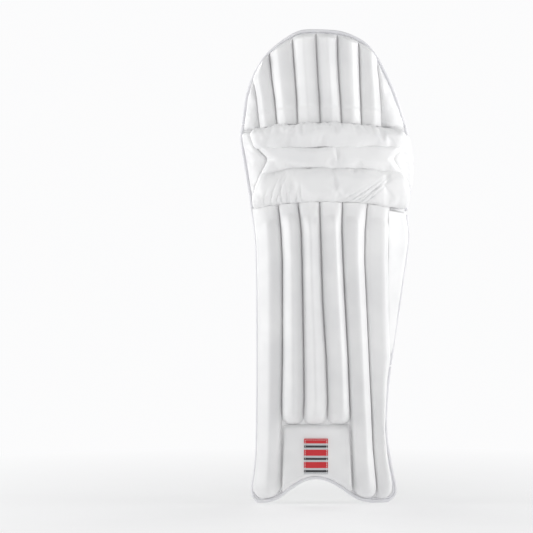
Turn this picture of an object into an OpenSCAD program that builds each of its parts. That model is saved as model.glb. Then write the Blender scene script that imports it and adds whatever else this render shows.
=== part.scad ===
// Cricket leg pad: a shin section, a knee section and a top section that bend at the knee,
// a side wing, and three fastening straps. The front faces -Y and the wing is on the +X side.

/* [Outline] */
// Height from the feet to the top edge
pad_h = 700; // [690:1:710]
// Height of the crease under the knee rolls
low_crease_z = 440; // [435:1:445]
// Height of the crease above the knee rolls
high_crease_z = 556; // [552:1:560]
// Reach of the wing side at the foot
foot_out = 117; // [114:1:120]
// Reach of the inner side at the foot
foot_in = 100; // [97:1:103]
// Reach of the wing side at the ankle
ankle_out = 103; // [102:1:104]
// Reach of the inner side along the shin
shin_in = 93; // [91:1:94]
// Reach of the wing at the calf
calf_out = 136; // [132:1:138]
// Reach of the wing side at the knee
knee_out = 141; // [138:1:143]
// Reach of the inner side at the knee
knee_in = 115; // [112:1:118]
// Height of the arch over the instep
arch_h = 35; // [30:1:40]

/* [Section] */
// Radius of the section across the front
front_r = 220; // [200:5:240]
// Radius of the section where it wraps round the leg
side_r = 100; // [95:1:110]
// Half of the angle that the front arc covers
front_a = 25; // [24:0.5:26]
// Thickness of the foam backing
backing_t = 8; // [6:0.5:9]
// Thickness of a lining sheet
lining_t = 2; // [1:0.5:2]
// Width of the edge piping
piping_w = 5; // [4:0.5:6]
// Gap between neighbouring layers
gap = 0.4; // [0.3:0.1:0.5]

/* [Bolsters and rolls] */
// Depth of a front bolster
bolster_h = 19; // [16:1:22]
// Depth of a knee roll
roll_h = 31; // [26:1:36]
// Depth of a leg bolster behind the shin
leg_bolster_h = 24; // [18:1:26]
// Depth of a knee pillow
pillow_h = 21; // [16:1:23]
// Radius of a cane rod
rod_r = 3; // [2:0.5:3.5]

/* [Wing] */
// Place of the vertical crease between shin and wing
wing_x = 101; // [100:0.5:102]
// Lowest point of the wing's crease
wing_z = 170; // [165:1:180]

/* [Straps] */
// Width of the calf and ankle straps
strap_w = 56; // [50:1:60]
// Width of the knee strap
knee_strap_w = 27; // [24:1:32]
// Height of the calf strap
calf_strap_z = 361; // [355:1:365]
// Height of the ankle strap
ankle_strap_z = 139; // [137:1:145]
// Height of the knee strap at its anchor
knee_strap_z = 472; // [470:1:474]
// Tilt of the knee strap, towards the wing
knee_strap_tilt = 4; // [3:0.5:5]
// Thickness of the webbing
strap_t = 2.4; // [2:0.1:3]

/* [Hidden] */
$fn = 64;

// Colours
white = [0.93, 0.93, 0.94];
lining_grey = [0.8, 0.81, 0.8];
mesh_grey = [0.64, 0.65, 0.66];
lime = [0.55, 0.9, 0.25];
teal = [0, 0.44, 0.52];
label_red = [0.8, 0.15, 0.12];
check_grey = [0.45, 0.45, 0.48];
cane = [0.76, 0.62, 0.4];

// The knee plate and the rolls stand this far out from the section's reference arc
plate_o = gap + 2.6;
roll_base_o = plate_o + gap;

// The frame's origin is under the middle of the bounding box, and the webbing bulges a little
strap_y = 88;
strap_bulge = 1;
front_y = -roll_base_o - roll_h;
strap_back_y = strap_y + strap_t + strap_bulge;
frame_x = (knee_out - knee_in) / 2;
frame_y = (front_y + strap_back_y) / 2;

// Heights at which the sections stop, which leave room for the knee to bend
shin_top = low_crease_z - 4;
wing_top = low_crease_z - 10;
knee_bottom = low_crease_z + 3;
knee_top = high_crease_z - 7.5;
top_bottom = high_crease_z + 4;

// How far the layers stand out from the section's reference arc; inward is negative
lining_o = -backing_t - gap - lining_t;
inner_o = lining_o - gap;
rim_in = lining_o - 1;
rim_out = 3;

// ---- The outline, seen from the front ----

// A smooth curve through a list of points
function catmull(a, b, c, d, t) =
    0.5 * (2 * b + (c - a) * t + (2 * a - 5 * b + 4 * c - d) * t * t
    + (3 * b - a - 3 * c + d) * t * t * t);
function smooth(p, steps = 3) = let (last = len(p) - 1) concat(
    [for (i = [0 : last - 1], k = [0 : steps - 1])
        catmull(p[max(i - 1, 0)], p[i], p[i + 1], p[min(i + 2, last)], k / steps)],
    [p[last]]);

// Left-hand unit normal of a step, and a closed ring of points moved inward by d
function normal(v) = [-v.y, v.x] / norm(v);
function inset(p, d) = let (n = len(p)) [for (i = [0 : n - 1])
    let (before = normal(p[i] - p[(i + n - 1) % n]), after = normal(p[(i + 1) % n] - p[i]))
    p[i] + d * (before + after) / (1 + before * after)];

// The wing edge runs up from its foot, the inner edge runs down, and the arch joins the feet
wing_edge = smooth([
    [foot_out - 12, 0], [foot_out, 15], [foot_out - 7, 58], [ankle_out, 110],
    [ankle_out + 4, 183], [calf_out - 10, 315], [calf_out, 390], [calf_out - 3, 434],
    [knee_out - 1, 470], [knee_out, 515], [knee_out - 13, 570], [106, 629], [77, 676],
    [40, pad_h - 4], [0, pad_h]], 3);
inner_edge = smooth([
    [0, pad_h], [-34, pad_h - 4], [-78, 664], [-104, 618], [1 - knee_in, 560], [-knee_in, 530],
    [-foot_in, 433], [-shin_in, 350], [-shin_in, 94], [-foot_in, 18], [-foot_in + 9, 0]], 3);
arch = smooth([[-foot_in + 24, 0], [-41, 20], [-3, arch_h], [33, 21], [74, 0]], 4);
outline = concat(wing_edge, [for (i = [1 : len(inner_edge) - 1]) inner_edge[i]], arch);

module face(margin) polygon(inset(outline, margin));
module slab(z0, z1, x0 = -200, x1 = 200) translate([x0, z0]) square([x1 - x0, z1 - z0]);
module shin_face(margin) difference() {
    intersection() { face(margin); slab(-1, shin_top); }
    slab(wing_z, shin_top + 1, wing_x);
}
module wing_face(margin) intersection() {
    face(margin);
    slab(wing_z + 1, wing_top, wing_x + 3);
}
module knee_face(margin) intersection() { face(margin); slab(knee_bottom, knee_top); }
module top_face(margin) intersection() { face(margin); slab(top_bottom, pad_h + 1); }

// The knee rolls lie between two side seams that point at each other, as [height, x]
roll_z = [knee_bottom, 490, 524, knee_top + 3];
notch_z = (roll_z[1] + roll_z[2]) / 2;
seam_inner = [[knee_bottom, -93], [notch_z, -71], [knee_top + 6, -89]];
seam_wing = [[knee_bottom, 122], [notch_z, 104], [knee_top + 6, 119]];
module roll_area(grow = 0) polygon(concat(
    [for (p = seam_inner) [p.y - grow, p.x]],
    [for (i = [2 : -1 : 0]) [seam_wing[i].y + grow, seam_wing[i].x]]));

// ---- The section, seen from above ----

side_center = (front_r - side_r) * [sin(front_a), -cos(front_a)] + [0, front_r];
front_len = front_r * front_a * PI / 180;

// The point at distance s along the reference arc, o outside it
function on_front(s, o) = let (a = s / front_r * 180 / PI)
    [(front_r + o) * sin(a), front_r - (front_r + o) * cos(a)];
function on_side(s, o) = let (a = front_a + (s - front_len) / side_r * 180 / PI)
    side_center + (side_r + o) * [sin(a), -cos(a)];
function at(s, o) = let (p = abs(s) > front_len ? on_side(abs(s), o) : on_front(abs(s), o))
    [s < 0 ? -p.x : p.x, p.y];

module through() rotate([90, 0, 0]) linear_extrude(height = 500, center = true) children();

// A curved sheet between two distances from the reference arc, cut to a front shape
facet = 12;
reach = 15 * facet;
module layer(from, to) intersection() {
    translate([0, 0, -2]) linear_extrude(height = pad_h + 4) polygon(concat(
        [for (s = [-reach : facet : reach]) at(s, to)],
        [for (s = [reach : -facet : -reach]) at(s, from)]));
    through() children();
}

// Distance along the arc to the point that stands o outside it at a given x
function along(x, o) = abs(x) < (front_r + o) * sin(front_a)
    ? front_r * asin(x / (front_r + o)) * PI / 180
    : sign(x) * (front_len + side_r * PI / 180
        * (asin((abs(x) - side_center.x) / (side_r + o)) - front_a));

// A profile of [distance outside the arc, height] points, swept from one side seam to the other
module sweep(profile, steps) {
    n = len(profile);
    points = [for (i = [0 : steps], q = profile) let (
        from = along(lookup(q.y, seam_inner), q.x), to = along(lookup(q.y, seam_wing), q.x))
        concat(at(from + (to - from) * i / steps, q.x), q.y)];
    last = len(points) - n;
    sides = [for (i = [0 : n : last - n], j = [0 : n - 1])
        let (a = i + j, b = i + (j + 1) % n) each [[b, a, b + n], [a, a + n, b + n]]];
    ends = [for (j = [1 : n - 2]) each [[0, j, j + 1], [last, last + j + 1, last + j]]];
    polyhedron(points, concat(sides, ends));
}

// ---- Bolsters ----

ridge_shape = [[-1, 0], [-1, 0.35], [-0.55, 0.85], [0, 1], [0.55, 0.85], [1, 0.35], [1, 0]];
cushion_shape = [[-1, 0], [-1, 0.45], [-0.75, 0.9], [0, 1], [0.75, 0.9], [1, 0.45], [1, 0]];

module ridge_section(z, shape, s, w, h, base)
    translate([0, 0, z]) linear_extrude(height = 1)
        polygon([for (q = shape) at(s + q.x * w / 2, base + q.y * h)]);

// A straight bolster from low = [s, z, width] to high, whose ends slope down
module bolster(low, high, h, shape = ridge_shape, base = 1.4) {
    end = 18;
    lean = (high[0] - low[0]) / (high[1] - low[1]) * end;
    hull() {
        ridge_section(low[1], shape, low[0], low[2] - 6, h * 0.4, base);
        ridge_section(low[1] + end, shape, low[0] + lean, low[2], h, base);
        ridge_section(high[1] - end, shape, high[0] - lean, high[2], h, base);
        ridge_section(high[1] - 1, shape, high[0], high[2] - 3, h * 0.5, base);
    }
}

// A cylinder inside a bolster, from near its low end to beyond its high end, cut short by two lengths
module along_bolster(b, r, low_cut = 0, high_cut = 0) {
    low = concat(at(b[0][0], 8), b[0][1] + 24);
    high = concat(at(b[1][0], 8), b[1][1] + 8);
    v = high - low;
    translate(low) rotate([0, acos(v.z / norm(v)), atan2(v.y, v.x)])
        translate([0, 0, low_cut]) cylinder(h = norm(v) - low_cut - high_cut, r = r);
}

// A cane rod slides into its bolster from above, so its channel is open there
module cased_bolster(b) difference() {
    bolster(b[0], b[1], bolster_h);
    along_bolster(b, rod_r + 0.5);
}
module cane_rod(b) along_bolster(b, rod_r, 1, 30);

inner_cane = [[-71, 17, 32], [-71, 435, 32]];
middle_canes = [
    [[-35, 122, 30], [-40, 435, 29]],
    [[-3, 118, 30], [-11, 435, 25]],
    [[29, 121, 30], [19, 435, 29]]];
wing_canes = [[[67, 16, 29], [52, 435, 31]], [[90, 17, 17], [84, 435, 22]]];

// The top canes stand side by side, lean a little inward and end under the top edge's curve
top_cane_w = 28;
top_lean = 0.11;
top_arch = [for (p = outline) if (p.y > high_crease_z + 30) p];
function arch_z(x) = lookup(x, top_arch) - 9;
top_canes = [for (i = [0 : 5])
    let (low_s = -75.5 + 30.4 * i, low_z = top_bottom + 1, lean = -top_lean * pow(0.68, i),
        high_s = low_s + lean * (arch_z(low_s) - low_z), half = top_cane_w / 2)
    [[low_s, low_z, top_cane_w],
    [high_s, min(arch_z(high_s - half), arch_z(high_s + half)), top_cane_w]]];

// ---- Shin section ----

module shin_backing() color(white) layer(-backing_t, 0) shin_face(piping_w + gap);
module shin_lining() color(lining_grey)
    layer(lining_o, -backing_t - gap) shin_face(piping_w + gap);
module shin_piping() color(white) layer(rim_in, rim_out) difference() {
    shin_face(0);
    shin_face(piping_w);
}
module shin_bolster_inner() color(white) cased_bolster(inner_cane);
module shin_bolsters_middle() color(white) for (b = middle_canes) cased_bolster(b);
module shin_bolsters_wing() color(white) for (b = wing_canes) cased_bolster(b);
module shin_rods() color(cane)
    for (b = concat([inner_cane], middle_canes, wing_canes)) cane_rod(b);
module instep_panel() color(white) layer(gap, 4) intersection() {
    shin_face(piping_w + 2);
    slab(0, 116, -52, 46);
}
module instep_label() color(label_red) layer(4 + gap, 5.5) slab(44, 98, -22, 16);
module leg_bolster_wing() color(white)
    bolster([60, 112, 40], [60, 428, 50], -leg_bolster_h, cushion_shape, inner_o - 0.5);
module leg_bolster_inner() color(white)
    bolster([-56, 112, 40], [-55, 428, 50], -leg_bolster_h, cushion_shape, inner_o - 0.5);
module shin_strip() color(teal) layer(inner_o - 3, inner_o) slab(112, 428, -20, 32);
module bolster_piping() color(lime) layer(inner_o - 6, inner_o)
    polygon([[83, 112], [91, 112], [98, 428], [87, 428]]);
module ankle_pads() color(lining_grey) for (x = [[-91, -49], [-48, 37], [38, 106]])
    layer(inner_o - 8, inner_o) intersection() {
        shin_face(piping_w + 2);
        slab(12, 107, x[0], x[1]);
    }

// ---- Strap anchors ----

module anchor(z, w, x) color(white)
    layer(rim_in - 3, rim_in - 0.6) slab(z - w / 2, z + w / 2, x, x + 8);
module calf_anchor() anchor(calf_strap_z, strap_w, -90);
module ankle_anchor() anchor(ankle_strap_z, strap_w, -90);
module knee_anchor() anchor(knee_strap_z, knee_strap_w, -104);

// ---- Knee section ----

knee_margin = piping_w + gap;

module knee_roll(i) {
    z0 = roll_z[i] + gap;
    z1 = roll_z[i + 1] - gap;
    middle = (z0 + z1) / 2;
    ease = (z1 - z0) * 0.22;
    shoulder = roll_base_o + roll_h * 0.5;
    bulge = roll_base_o + roll_h * 0.85;
    color(white) sweep([
        [roll_base_o, middle], [roll_base_o, z0], [shoulder, z0], [bulge, z0 + ease],
        [roll_base_o + roll_h, middle], [bulge, z1 - ease], [shoulder, z1],
        [roll_base_o, z1]], 24);
}
module knee_flank(x0, x1) color(white) layer(gap, 9) difference() {
    intersection() { knee_face(knee_margin); slab(0, pad_h, x0, x1); }
    roll_area(gap);
}
module knee_pillow(x0, x1) layer(inner_o - pillow_h, inner_o) slab(450, 532, x0, x1);

module knee_backing() color(white) layer(-backing_t, 0) knee_face(knee_margin);
module knee_plate() color(check_grey) layer(gap, plate_o) intersection() {
    knee_face(knee_margin);
    roll_area(-6);
}
module knee_roll_lower() knee_roll(0);
module knee_roll_middle() knee_roll(1);
module knee_roll_upper() knee_roll(2);
module knee_flank_inner() knee_flank(-200, 0);
module knee_flank_wing() knee_flank(0, 200);
module knee_lining() color(lining_grey)
    layer(lining_o, -backing_t - gap) knee_face(knee_margin);
module knee_pillow_wing() color(white) {
    knee_pillow(45, 106);
    layer(inner_o - pillow_h / 2, inner_o) slab(450, 532, 105, 122);
}
module knee_pillow_center() color(mesh_grey) knee_pillow(-24, 44);
module knee_pillow_inner() color(white) knee_pillow(-84, -25);
module knee_piping() color(white) layer(rim_in, rim_out) difference() {
    knee_face(0);
    knee_face(piping_w);
}

// ---- Top section ----

chevron_x = 6;
chevron_z = 568;
chevron_rise = 0.58;
module above_chevron(lift) polygon([
    [chevron_x, chevron_z + lift], [150, chevron_z + lift + chevron_rise * (150 - chevron_x)],
    [150, 800], [-150, 800], [-150, chevron_z + lift + chevron_rise * (150 + chevron_x)]]);

module top_backing() color(white) layer(-backing_t, 0) top_face(knee_margin);
module top_bolsters() color(white) for (b = top_canes) cased_bolster(b);
module top_rods() color(cane) for (b = top_canes) cane_rod(b);
module top_flanks() color(white) layer(gap, 8) difference() {
    top_face(knee_margin);
    polygon([[-95, top_bottom - 1], [-95 - top_lean * 200, top_bottom + 199],
        [93, top_bottom + 199], [93, top_bottom - 1]]);
}
module top_lining() color(lining_grey) layer(lining_o, -backing_t - gap) intersection() {
    top_face(knee_margin);
    above_chevron(3);
}
module top_mesh() color(mesh_grey) layer(lining_o, -backing_t - gap) difference() {
    top_face(knee_margin);
    above_chevron(-3);
}
module top_chevron() color(lime) layer(lining_o - 1.5, -backing_t - gap) difference() {
    intersection() { top_face(knee_margin); above_chevron(gap - 3); }
    above_chevron(3 - gap);
}
module top_label() color(label_red) layer(inner_o - 1, inner_o) slab(600, 680, -14, 20);
module top_piping() color(white) layer(rim_in, rim_out) difference() {
    top_face(0);
    top_face(piping_w);
}

// ---- Wing ----

module wing_panel() color(white) layer(-backing_t, 4) wing_face(knee_margin);
module wing_lining() color(lining_grey)
    layer(lining_o, -backing_t - gap) wing_face(knee_margin);
module wing_piping() color(white) layer(rim_in, rim_out) difference() {
    wing_face(0);
    wing_face(piping_w);
}

// ---- Straps ----

// A strap runs back from its root, bends round the leg bolster and crosses to the wing
tab_x = 62;
shin_root = [-92, 43];
knee_root = [-105, 50];
function web_path(root) = smooth([root, root + [6, 20], [-62, strap_y - 10], [0, strap_y - 2],
    [tab_x - 1, strap_y]], 4);
tab_path = smooth([[tab_x + 1, strap_y], [100, strap_y - 1], [134, strap_y - 6]], 4);

// Points moved off an open path by d, to its left
function beside(p, d) = let (last = len(p) - 1) [for (i = [0 : last])
    p[i] + d * normal(p[min(i + 1, last)] - p[max(i - 1, 0)])];
module band(path, near, far, w) translate([0, 0, -w / 2]) linear_extrude(height = w)
    polygon(concat(beside(path, near), [for (i = [len(path) - 1 : -1 : 0]) beside(path, far)[i]]));

// A tab's outline from behind: a rounded end, or a pointed one
module tab_shape(w, end_x, pointed) {
    body_x = end_x - (pointed ? w * 0.5 : w * 0.35);
    slab(-w / 2, w / 2, tab_x - 5, body_x);
    if (pointed)
        polygon([[body_x - 1, -w / 2], [end_x - w * 0.2, -w * 0.36], [end_x, 0],
            [end_x - w * 0.2, w * 0.36], [body_x - 1, w / 2]]);
    else
        intersection() {
            translate([body_x - w * 0.4, 0]) circle(r = w * 0.75);
            slab(-w / 2, w / 2, body_x - 1, end_x);
        }
}
module strap_frame(z, tilt) translate([knee_root.x, 0, z]) rotate([0, -tilt, 0])
    translate([-knee_root.x, 0, 0]) children();
module webbing(root, z, w, tilt = 0) color(check_grey)
    strap_frame(z, tilt) band(web_path(root), 0, strap_t, w);
module tab(z, w, end_x, pointed = false, tilt = 0) color(lime)
    strap_frame(z, tilt) intersection() {
        band(tab_path, 0, strap_t, w);
        through() tab_shape(w, end_x, pointed);
    }
module hook_patch(z, w, end_x, tilt = 0) color(mesh_grey)
    strap_frame(z, tilt) intersection() {
        band(tab_path, -1.4, -gap, w);
        through() slab(5 - w / 2, w / 2 - 5, tab_x + 6, end_x);
    }

module knee_webbing() webbing(knee_root, knee_strap_z, knee_strap_w, knee_strap_tilt);
module knee_tab() tab(knee_strap_z, knee_strap_w, 134, false, knee_strap_tilt);
module knee_hook_patch() hook_patch(knee_strap_z, knee_strap_w, 122, knee_strap_tilt);
module calf_webbing() webbing(shin_root, calf_strap_z, strap_w);
module calf_tab() tab(calf_strap_z, strap_w, 126);
module calf_hook_patch() hook_patch(calf_strap_z, strap_w, 112);
module ankle_webbing() webbing(shin_root, ankle_strap_z, strap_w);
module ankle_tab() tab(ankle_strap_z, strap_w, 104, true);
module ankle_hook_patch() hook_patch(ankle_strap_z, strap_w, 82);

translate([-frame_x, -frame_y, 0]) {
    shin_backing();
    shin_lining();
    shin_piping();
    shin_bolster_inner();
    shin_bolsters_middle();
    shin_bolsters_wing();
    shin_rods();
    instep_panel();
    instep_label();
    leg_bolster_wing();
    leg_bolster_inner();
    shin_strip();
    bolster_piping();
    ankle_pads();
    calf_anchor();
    ankle_anchor();
    knee_backing();
    knee_plate();
    knee_roll_upper();
    knee_roll_middle();
    knee_roll_lower();
    knee_flank_inner();
    knee_flank_wing();
    knee_lining();
    knee_pillow_wing();
    knee_pillow_center();
    knee_pillow_inner();
    knee_piping();
    knee_anchor();
    top_backing();
    top_bolsters();
    top_rods();
    top_flanks();
    top_lining();
    top_mesh();
    top_chevron();
    top_label();
    top_piping();
    wing_panel();
    wing_lining();
    wing_piping();
    knee_webbing();
    knee_tab();
    knee_hook_patch();
    calf_webbing();
    calf_tab();
    calf_hook_patch();
    ankle_webbing();
    ankle_tab();
    ankle_hook_patch();
}
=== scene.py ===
import math

import bmesh
import bpy
import numpy as np
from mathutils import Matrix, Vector

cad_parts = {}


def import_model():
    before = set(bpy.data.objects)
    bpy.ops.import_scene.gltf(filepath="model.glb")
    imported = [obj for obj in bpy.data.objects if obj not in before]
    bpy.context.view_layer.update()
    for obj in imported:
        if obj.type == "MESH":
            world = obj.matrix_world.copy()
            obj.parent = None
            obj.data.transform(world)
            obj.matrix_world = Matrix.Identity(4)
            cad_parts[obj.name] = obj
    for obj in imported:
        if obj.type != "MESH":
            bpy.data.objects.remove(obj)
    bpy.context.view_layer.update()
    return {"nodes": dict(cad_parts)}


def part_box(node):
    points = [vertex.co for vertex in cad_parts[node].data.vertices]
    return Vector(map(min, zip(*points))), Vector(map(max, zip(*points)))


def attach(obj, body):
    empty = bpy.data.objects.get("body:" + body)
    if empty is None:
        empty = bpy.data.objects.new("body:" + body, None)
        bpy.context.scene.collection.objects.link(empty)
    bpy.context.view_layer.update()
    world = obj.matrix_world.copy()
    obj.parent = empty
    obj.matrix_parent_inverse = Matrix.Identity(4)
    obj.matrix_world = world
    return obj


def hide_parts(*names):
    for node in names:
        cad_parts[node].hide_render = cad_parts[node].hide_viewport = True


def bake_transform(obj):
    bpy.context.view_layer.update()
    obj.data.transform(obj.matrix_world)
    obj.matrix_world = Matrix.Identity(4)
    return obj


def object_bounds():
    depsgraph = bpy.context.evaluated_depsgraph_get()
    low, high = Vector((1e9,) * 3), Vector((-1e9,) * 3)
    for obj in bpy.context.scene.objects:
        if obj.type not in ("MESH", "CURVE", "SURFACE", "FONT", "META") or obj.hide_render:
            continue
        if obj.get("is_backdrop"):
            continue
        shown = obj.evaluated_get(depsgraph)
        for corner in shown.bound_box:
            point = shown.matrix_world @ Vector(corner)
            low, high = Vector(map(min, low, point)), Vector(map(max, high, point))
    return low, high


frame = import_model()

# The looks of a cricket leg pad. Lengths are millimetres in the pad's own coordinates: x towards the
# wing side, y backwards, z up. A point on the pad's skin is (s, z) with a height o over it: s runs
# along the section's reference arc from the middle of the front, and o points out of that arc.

MM = 0.001

# ---- Sizes, from the frame ----


def corners(node):
    """Lowest and highest corner of a CAD node in the row frame, in millimetres."""
    low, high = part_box(node)
    return np.array(low) / MM, np.array(high) / MM


# The centre strip's own x limits, from which the frame's origin is worked out
STRIP_INNER, STRIP_WING = -20.0, 32.0
ORIGIN = np.array([corners("shin_strip")[0][0] - STRIP_INNER, corners("shin_backing")[0][1], 0.0])

# The section: a wide front arc, up to an angle on each side, and a tighter arc beyond it
FRONT_R, SIDE_R, FRONT_A = 220.0, 100.0, math.radians(25)
FRONT_LEN = FRONT_R * FRONT_A
SIDE_X = (FRONT_R - SIDE_R) * math.sin(FRONT_A)
SIDE_Y = FRONT_R - (FRONT_R - SIDE_R) * math.cos(FRONT_A)

PAD_H = corners("top_piping")[1][2]
SHIN_TOP = corners("shin_backing")[1][2]
WING_LOW = corners("wing_panel")[0][2]
WING_TOP = corners("wing_panel")[1][2]
KNEE_LOW = corners("knee_backing")[0][2]
KNEE_TOP = corners("knee_backing")[1][2]
TOP_LOW = corners("top_backing")[0][2]
# Where the wing's upright crease is
WING_X = 101.0
LOW_CREASE = (SHIN_TOP + KNEE_LOW) / 2
HIGH_CREASE = (KNEE_TOP + TOP_LOW) / 2

# Heights over the reference arc: the cores' front and back, and the linings' face
BASE_O = 0.9
CORE_BACK_O = -8.1
LINING_O = -10.4
# How far the cores and linings stop from the pad's edge, inside the binding
EDGE_INSET = 3.0
# How far a bolster stops from the middle of its groove
GROOVE_GAP = 0.35


# ---- The section and the outline ----


def arc(s, o=0.0):
    """Own x and y of the point at distance s along the reference arc, o outside it."""
    s = np.asarray(s, float)
    front = np.abs(s) <= FRONT_LEN
    side_a = np.sign(s) * (FRONT_A + (np.abs(s) - FRONT_LEN) / SIDE_R)
    angle = np.where(front, s / FRONT_R, side_a)
    radius = np.where(front, FRONT_R, SIDE_R) + o
    x = np.where(front, 0.0, np.sign(s) * SIDE_X) + radius * np.sin(angle)
    y = np.where(front, FRONT_R, SIDE_Y) - radius * np.cos(angle)
    return x, y


def along(x, o=0.0):
    """Distance along the arc of the point that stands o outside it at a given x."""
    x = np.asarray(x, float)
    front = np.arcsin(np.clip(x / (FRONT_R + o), -1, 1)) * FRONT_R
    side = np.arcsin(np.clip((np.abs(x) - SIDE_X) / (SIDE_R + o), -1, 1))
    side = np.sign(x) * (FRONT_LEN + SIDE_R * (side - FRONT_A))
    return np.where(np.abs(x) <= (FRONT_R + o) * math.sin(FRONT_A), front, side)


def unroll(points):
    """The s and o of own points, an array of x, y, z: the reverse of arc()."""
    x, y = points[:, 0], points[:, 1]
    front_a = np.arctan2(x, FRONT_R - y)
    side_a = np.arctan2(np.abs(x) - SIDE_X, SIDE_Y - y)
    front = np.abs(front_a) <= FRONT_A
    s = np.where(front, FRONT_R * front_a, np.sign(x) * (FRONT_LEN + SIDE_R * (side_a - FRONT_A)))
    front_o = np.hypot(x, FRONT_R - y) - FRONT_R
    side_o = np.hypot(np.abs(x) - SIDE_X, SIDE_Y - y) - SIDE_R
    return s, np.where(front, front_o, side_o)


def outward(s):
    """Unit vectors that point out of the pad's skin."""
    side_a = np.sign(s) * (FRONT_A + (np.abs(s) - FRONT_LEN) / SIDE_R)
    angle = np.where(np.abs(s) <= FRONT_LEN, s / FRONT_R, side_a)
    return np.stack([np.sin(angle), -np.cos(angle), 0 * angle], axis=1)


def pad_skin(s, z, o):
    """Points of the row frame, in metres, for arrays of s, z and o."""
    s, z, o = np.broadcast_arrays(np.asarray(s, float), z, o)
    x, y = arc(s, o)
    return (np.stack([x, y, z], axis=-1) + ORIGIN) * MM


def smooth(points, steps=8):
    """A Catmull-Rom curve through a list of points."""
    p = np.array(points, float)
    last = len(p) - 1
    t = (np.arange(steps) / steps)[:, None]
    curve = []
    for i in range(last):
        a, b, c, d = p[max(i - 1, 0)], p[i], p[i + 1], p[min(i + 2, last)]
        curve.append(0.5 * (2 * b + (c - a) * t + (2 * a - 5 * b + 4 * c - d) * t**2
                            + (3 * b - a - 3 * c + d) * t**3))
    return np.vstack(curve + [p[last:]])


def headings(path):
    """Unit vectors along a path of flat points, and to the left of it."""
    ahead = np.gradient(path, axis=0)
    ahead /= np.linalg.norm(ahead, axis=1)[:, None]
    return ahead, np.stack([-ahead[:, 1], ahead[:, 0]], axis=1)


def run_along(path):
    """The distance from a path's start at each of its points."""
    return np.concatenate([[0], np.cumsum(np.linalg.norm(np.diff(path, axis=0), axis=1))])


def quarter_round(share):
    """Rises from 0 to 1 along a quarter circle while share goes from 0 to 1."""
    return np.sqrt(np.clip(1 - (1 - np.clip(share, 0, 1)) ** 2, 0, 1))


WING_EDGE = smooth([
    [105, 0], [117, 15], [110, 58], [103, 110], [107, 183], [126, 315], [136, 390], [133, 434],
    [140, 470], [141, 515], [128, 570], [106, 629], [77, 676], [40, PAD_H - 4], [0, PAD_H]])
INNER_EDGE = smooth([
    [0, PAD_H], [-34, PAD_H - 4], [-78, 664], [-104, 618], [-114, 560], [-115, 530], [-100, 433],
    [-93, 350], [-93, 94], [-100, 18], [-91, 0]])
ARCH = smooth([
    [-80, 0.3], [-66, 3.5], [-54, 10], [-39, 21.5], [-20, 32.5], [-2, 36], [17, 31.5], [36, 20.5],
    [51, 10], [64, 3.5], [80, 0.3]], 4)
TOP_EDGE = np.vstack([INNER_EDGE[::-1][:-1], WING_EDGE[::-1]])
TOP_EDGE = TOP_EDGE[TOP_EDGE[:, 1] > TOP_LOW - 20]


def wing_s(z):
    return along(np.interp(z, WING_EDGE[:, 1], WING_EDGE[:, 0]), 1.0)


def inner_s(z):
    return along(np.interp(z, INNER_EDGE[::-1, 1], INNER_EDGE[::-1, 0]), 1.0)


def foot_z(s):
    x = arc(s)[0]
    return np.where((x > ARCH[0, 0]) & (x < ARCH[-1, 0]), np.interp(x, ARCH[:, 0], ARCH[:, 1]), 0.0)


def arch_z(s):
    return np.interp(arc(s)[0], TOP_EDGE[:, 0], TOP_EDGE[:, 1])


def crease_line(*points):
    """A height over s, through (x, z) points."""
    p = np.array(points, float)
    return lambda s: np.interp(s, along(p[:, 0]), p[:, 1])


# Where the knee rolls' cover meets the bolsters below and above it
LOW_LINE = crease_line((-108, 433), (-93, 435), (-60, 441), (-20, 444.5), (10, 445.5), (70, 443),
                       (100, 438.5), (112, 437), (138, 435))
HIGH_LINE = crease_line((-114, 551), (-93, 551), (-60, 556.5), (-20, 559.5), (10, 560.5), (60, 558.5),
                        (93, 555), (118, 551.5), (138, 551.5))


def moved(limit, step):
    """A limit, which is a number or a function of the other coordinate, moved by step."""
    if callable(limit):
        return lambda t: limit(t) + step
    return limit + step


def line(*points):
    """A limit through (coordinate, value) points."""
    p = np.array(sorted(points), float)
    return lambda t: np.interp(t, p[:, 0], p[:, 1])


def groove(*points):
    """A seam on the front that passes through (z, x) points, as s for a height z."""
    p = np.array(sorted(points), float)
    return lambda z: np.interp(z, p[:, 0], along(p[:, 1], 1.0))


# ---- Mesh building ----


def piece(name, points, faces, uv, look, ride=None, slot=None, replaces=(), crease=40):
    """A mesh object from arrays: points in metres, quads, and a uv pair in metres for each face corner."""
    mesh = bpy.data.meshes.new(name)
    mesh.vertices.add(len(points))
    mesh.vertices.foreach_set("co", np.asarray(points, np.float32).ravel())
    mesh.loops.add(faces.size)
    mesh.loops.foreach_set("vertex_index", faces.astype(np.int32).ravel())
    mesh.polygons.add(len(faces))
    mesh.polygons.foreach_set("loop_start", np.arange(0, faces.size, 4, dtype=np.int32))
    layer = mesh.uv_layers.new(name="skin")
    layer.data.foreach_set("uv", np.asarray(uv, np.float32).ravel())
    mesh.update(calc_edges=True)
    mesh.validate()
    solid = bmesh.new()
    solid.from_mesh(mesh)
    bmesh.ops.remove_doubles(solid, verts=solid.verts, dist=1e-6)
    bmesh.ops.recalc_face_normals(solid, faces=solid.faces)
    solid.to_mesh(mesh)
    solid.free()
    mesh.polygons.foreach_set("use_smooth", [True] * len(mesh.polygons))
    mesh.set_sharp_from_angle(angle=math.radians(crease))
    obj = bpy.data.objects.new(name, mesh)
    bpy.context.scene.collection.objects.link(obj)
    mesh.materials.append(look)
    if replaces:
        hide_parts(*replaces)
    if ride:
        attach(obj, ride)
    return obj


def read(mesh, field="co"):
    """A mesh's points or normals as an array."""
    values = np.zeros(len(mesh.vertices) * 3, np.float32)
    mesh.vertices.foreach_get(field, values)
    return values.reshape(-1, 3)


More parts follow.
